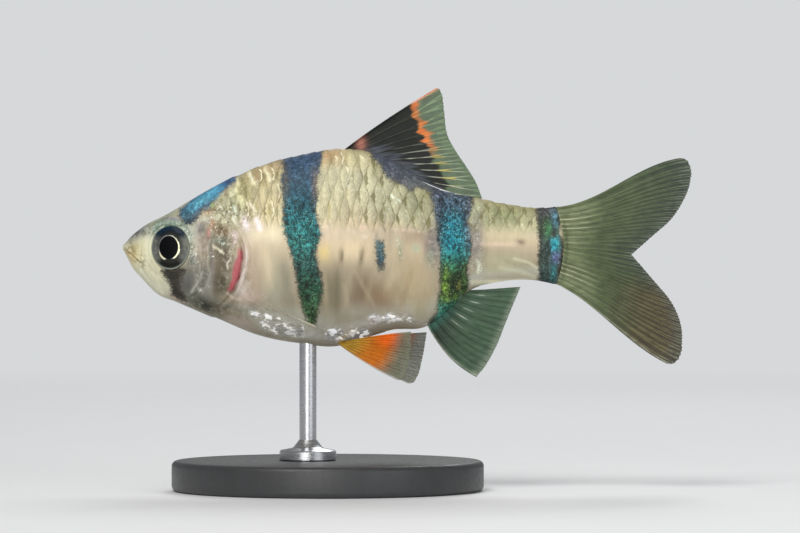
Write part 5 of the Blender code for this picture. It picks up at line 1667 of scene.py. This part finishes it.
def buildStand():
    look = standLook
    material, tree, shader = newMaterial("standPaint", Coat_Weight=0.15, Coat_Roughness=0.3)
    mottled = useGroup(tree, softMottle, {"Color": look["baseColour"], "Amount": 0.35, "Size": 500.0})
    tree.links.new(mottled["Color"], shader.inputs["Base Color"])
    tree.links.new(ramp(tree, mottled["Grain"], 0.3, 0.7, 0.38, 0.52), shader.inputs["Roughness"])
    addBump(tree, shader, mottled["Grain"], 0.35, 0.00006)
    profile = roundedEdge(look["baseRadius"], 0.0, look["baseHeight"], look["baseEdge"])
    turned("standBase", look["baseX"], profile, material, "stand_base")
    material, tree, shader = newMaterial("standSteel", Metallic=1.0)
    place = ownPlace(tree)
    lines = stretched(tree, place, 0.08, 0.08, 1.0)
    brushed = noiseAt(tree, lines, 9000, 3.0)
    steel = blendColour(tree, brushed, (0.44, 0.45, 0.47, 1), (0.66, 0.67, 0.69, 1))
    tree.links.new(steel, shader.inputs["Base Color"])
    tree.links.new(ramp(tree, brushed, 0.2, 0.8, 0.22, 0.38), shader.inputs["Roughness"])
    addBump(tree, shader, brushed, 0.2, 0.00003)
    low = look["baseHeight"] + look["gap"]
    top = body["axisHeight"] + float(bellyAt(look["rodX"])) + look["intoBelly"]
    foot, neck, rod = look["footRadius"], look["neckRadius"], look["rodRadius"]
    profile = [
        (0.2, low - look["gap"]), (foot - 0.15, low - look["gap"]), (foot, low - look["gap"] + 0.12),
        (foot, low + look["footHeight"] - 0.15), (foot - 0.15, low + look["footHeight"]),
        (neck + 0.25, low + look["neckHeight"]), (neck, low + look["neckHeight"] + 0.12),
        (rod + 0.2, low + look["taperHeight"] - 0.25), (rod, low + look["taperHeight"]),
        (rod, low + look["taperHeight"] + 1.0), (rod, top - 0.1), (rod - 0.1, top), (0.2, top),
    ]
    turned("standRod", body["snoutX"] + look["rodX"], profile, material, "stand_rod")


buildStand()

# Studio: pale floor that fades into the pale surround, soft lights, and the camera
studio = {
    "floorRadius": 1.5, "rings": [0.001, 0.05, 0.15, 0.4, 1.0], "around": 96,
    "floorColour": (0.86, 0.87, 0.88, 1.0), "surround": (0.96, 0.98, 1.0, 1.0),
    "wallStrength": 0.70, "glowStrength": 0.25,
    "lights": [   # name, place, size, power, colour
        ("keyLight", (-0.16, -0.36, 0.50), 0.30, 1.85, (1.0, 0.98, 0.95)),
        ("fillLight", (0.35, -0.38, 0.14), 0.35, 0.5, (0.96, 0.98, 1.0)),
        ("lowLight", (-0.10, -0.52, 0.05), 0.30, 0.95, (1.0, 0.99, 0.97)),
        ("rimLight", (0.08, 0.38, 0.40), 0.30, 1.0, (1.0, 1.0, 1.0)),
    ],
    "aim": (-0.001, 0.0, 0.024), "cameraDistance": 0.45, "sensor": 36.0,
    "viewWidth": 0.08458, "viewCentre": (-0.00087, 0.02369),
}


def aimAt(obj, target):
    obj.rotation_euler = (Vector(target) - obj.location).to_track_quat("-Z", "Y").to_euler()


def buildFloor():
    turns = 2 * np.pi * np.arange(studio["around"]) / studio["around"]
    radii = np.array(studio["rings"]) * studio["floorRadius"]
    mesh = bpy.data.meshes.new("floor")
    points = [(r * math.cos(a), r * math.sin(a), 0.0) for r in radii for a in turns]
    faces = gridFaces(len(radii), studio["around"], around=True)
    faces.append(list(range(studio["around"]))[::-1])
    mesh.from_pydata(points, [], faces)
    material, tree, shader = newMaterial("studioFloor", Roughness=0.6)
    distance = addNode(tree, "VectorMath", {0: ownPlace(tree)}, operation="LENGTH").outputs["Value"]
    mottled = useGroup(tree, softMottle, {"Color": studio["floorColour"], "Amount": 0.03, "Size": 60.0})
    tree.links.new(mottled["Color"], shader.inputs["Base Color"])
    tree.links.new(ramp(tree, distance, 0.10, 0.55, 1.0, 0.0), shader.inputs["Alpha"])
    mesh.materials.append(material)
    floor = bpy.data.objects.new("floor", mesh)
    bpy.context.scene.collection.objects.link(floor)

def buildSurround():
    # one brightness where the camera sees it, and a softer one for its light on the model
    world = bpy.data.worlds.new("surround")
    world.use_nodes = True
    tree = world.node_tree
    background = tree.nodes["Background"]
    background.inputs["Color"].default_value = studio["surround"]
    seen = addNode(tree, "LightPath").outputs["Is Camera Ray"]
    strength = ramp(tree, seen, 0.0, 1.0, studio["glowStrength"], studio["wallStrength"])
    tree.links.new(strength, background.inputs["Strength"])
    bpy.context.scene.world = world

def buildLights():
    for name, place, size, power, colour in studio["lights"]:
        data = bpy.data.lights.new(name, "AREA")
        data.shape, data.size, data.energy, data.color = "DISK", size, power, colour
        lamp = bpy.data.objects.new(name, data)
        lamp.location = place
        bpy.context.scene.collection.objects.link(lamp)
        aimAt(lamp, studio["aim"])

def buildCamera():
    camera = bpy.data.cameras.new("photoCamera")
    camera.sensor_width = studio["sensor"]
    camera.lens = studio["sensor"] * studio["cameraDistance"] / studio["viewWidth"]
    camera.clip_start, camera.clip_end = 0.01, 20.0
    eye = bpy.data.objects.new("photoCamera", camera)
    across, up = studio["viewCentre"]
    eye.location = (across, -studio["cameraDistance"], up)
    eye.rotation_euler = (math.pi / 2, 0.0, 0.0)
    bpy.context.scene.collection.objects.link(eye)
    bpy.context.scene.camera = eye
    bpy.context.scene.view_settings.view_transform = "Standard"


buildFloor()
buildSurround()
buildLights()
buildCamera()
print("studio ready")
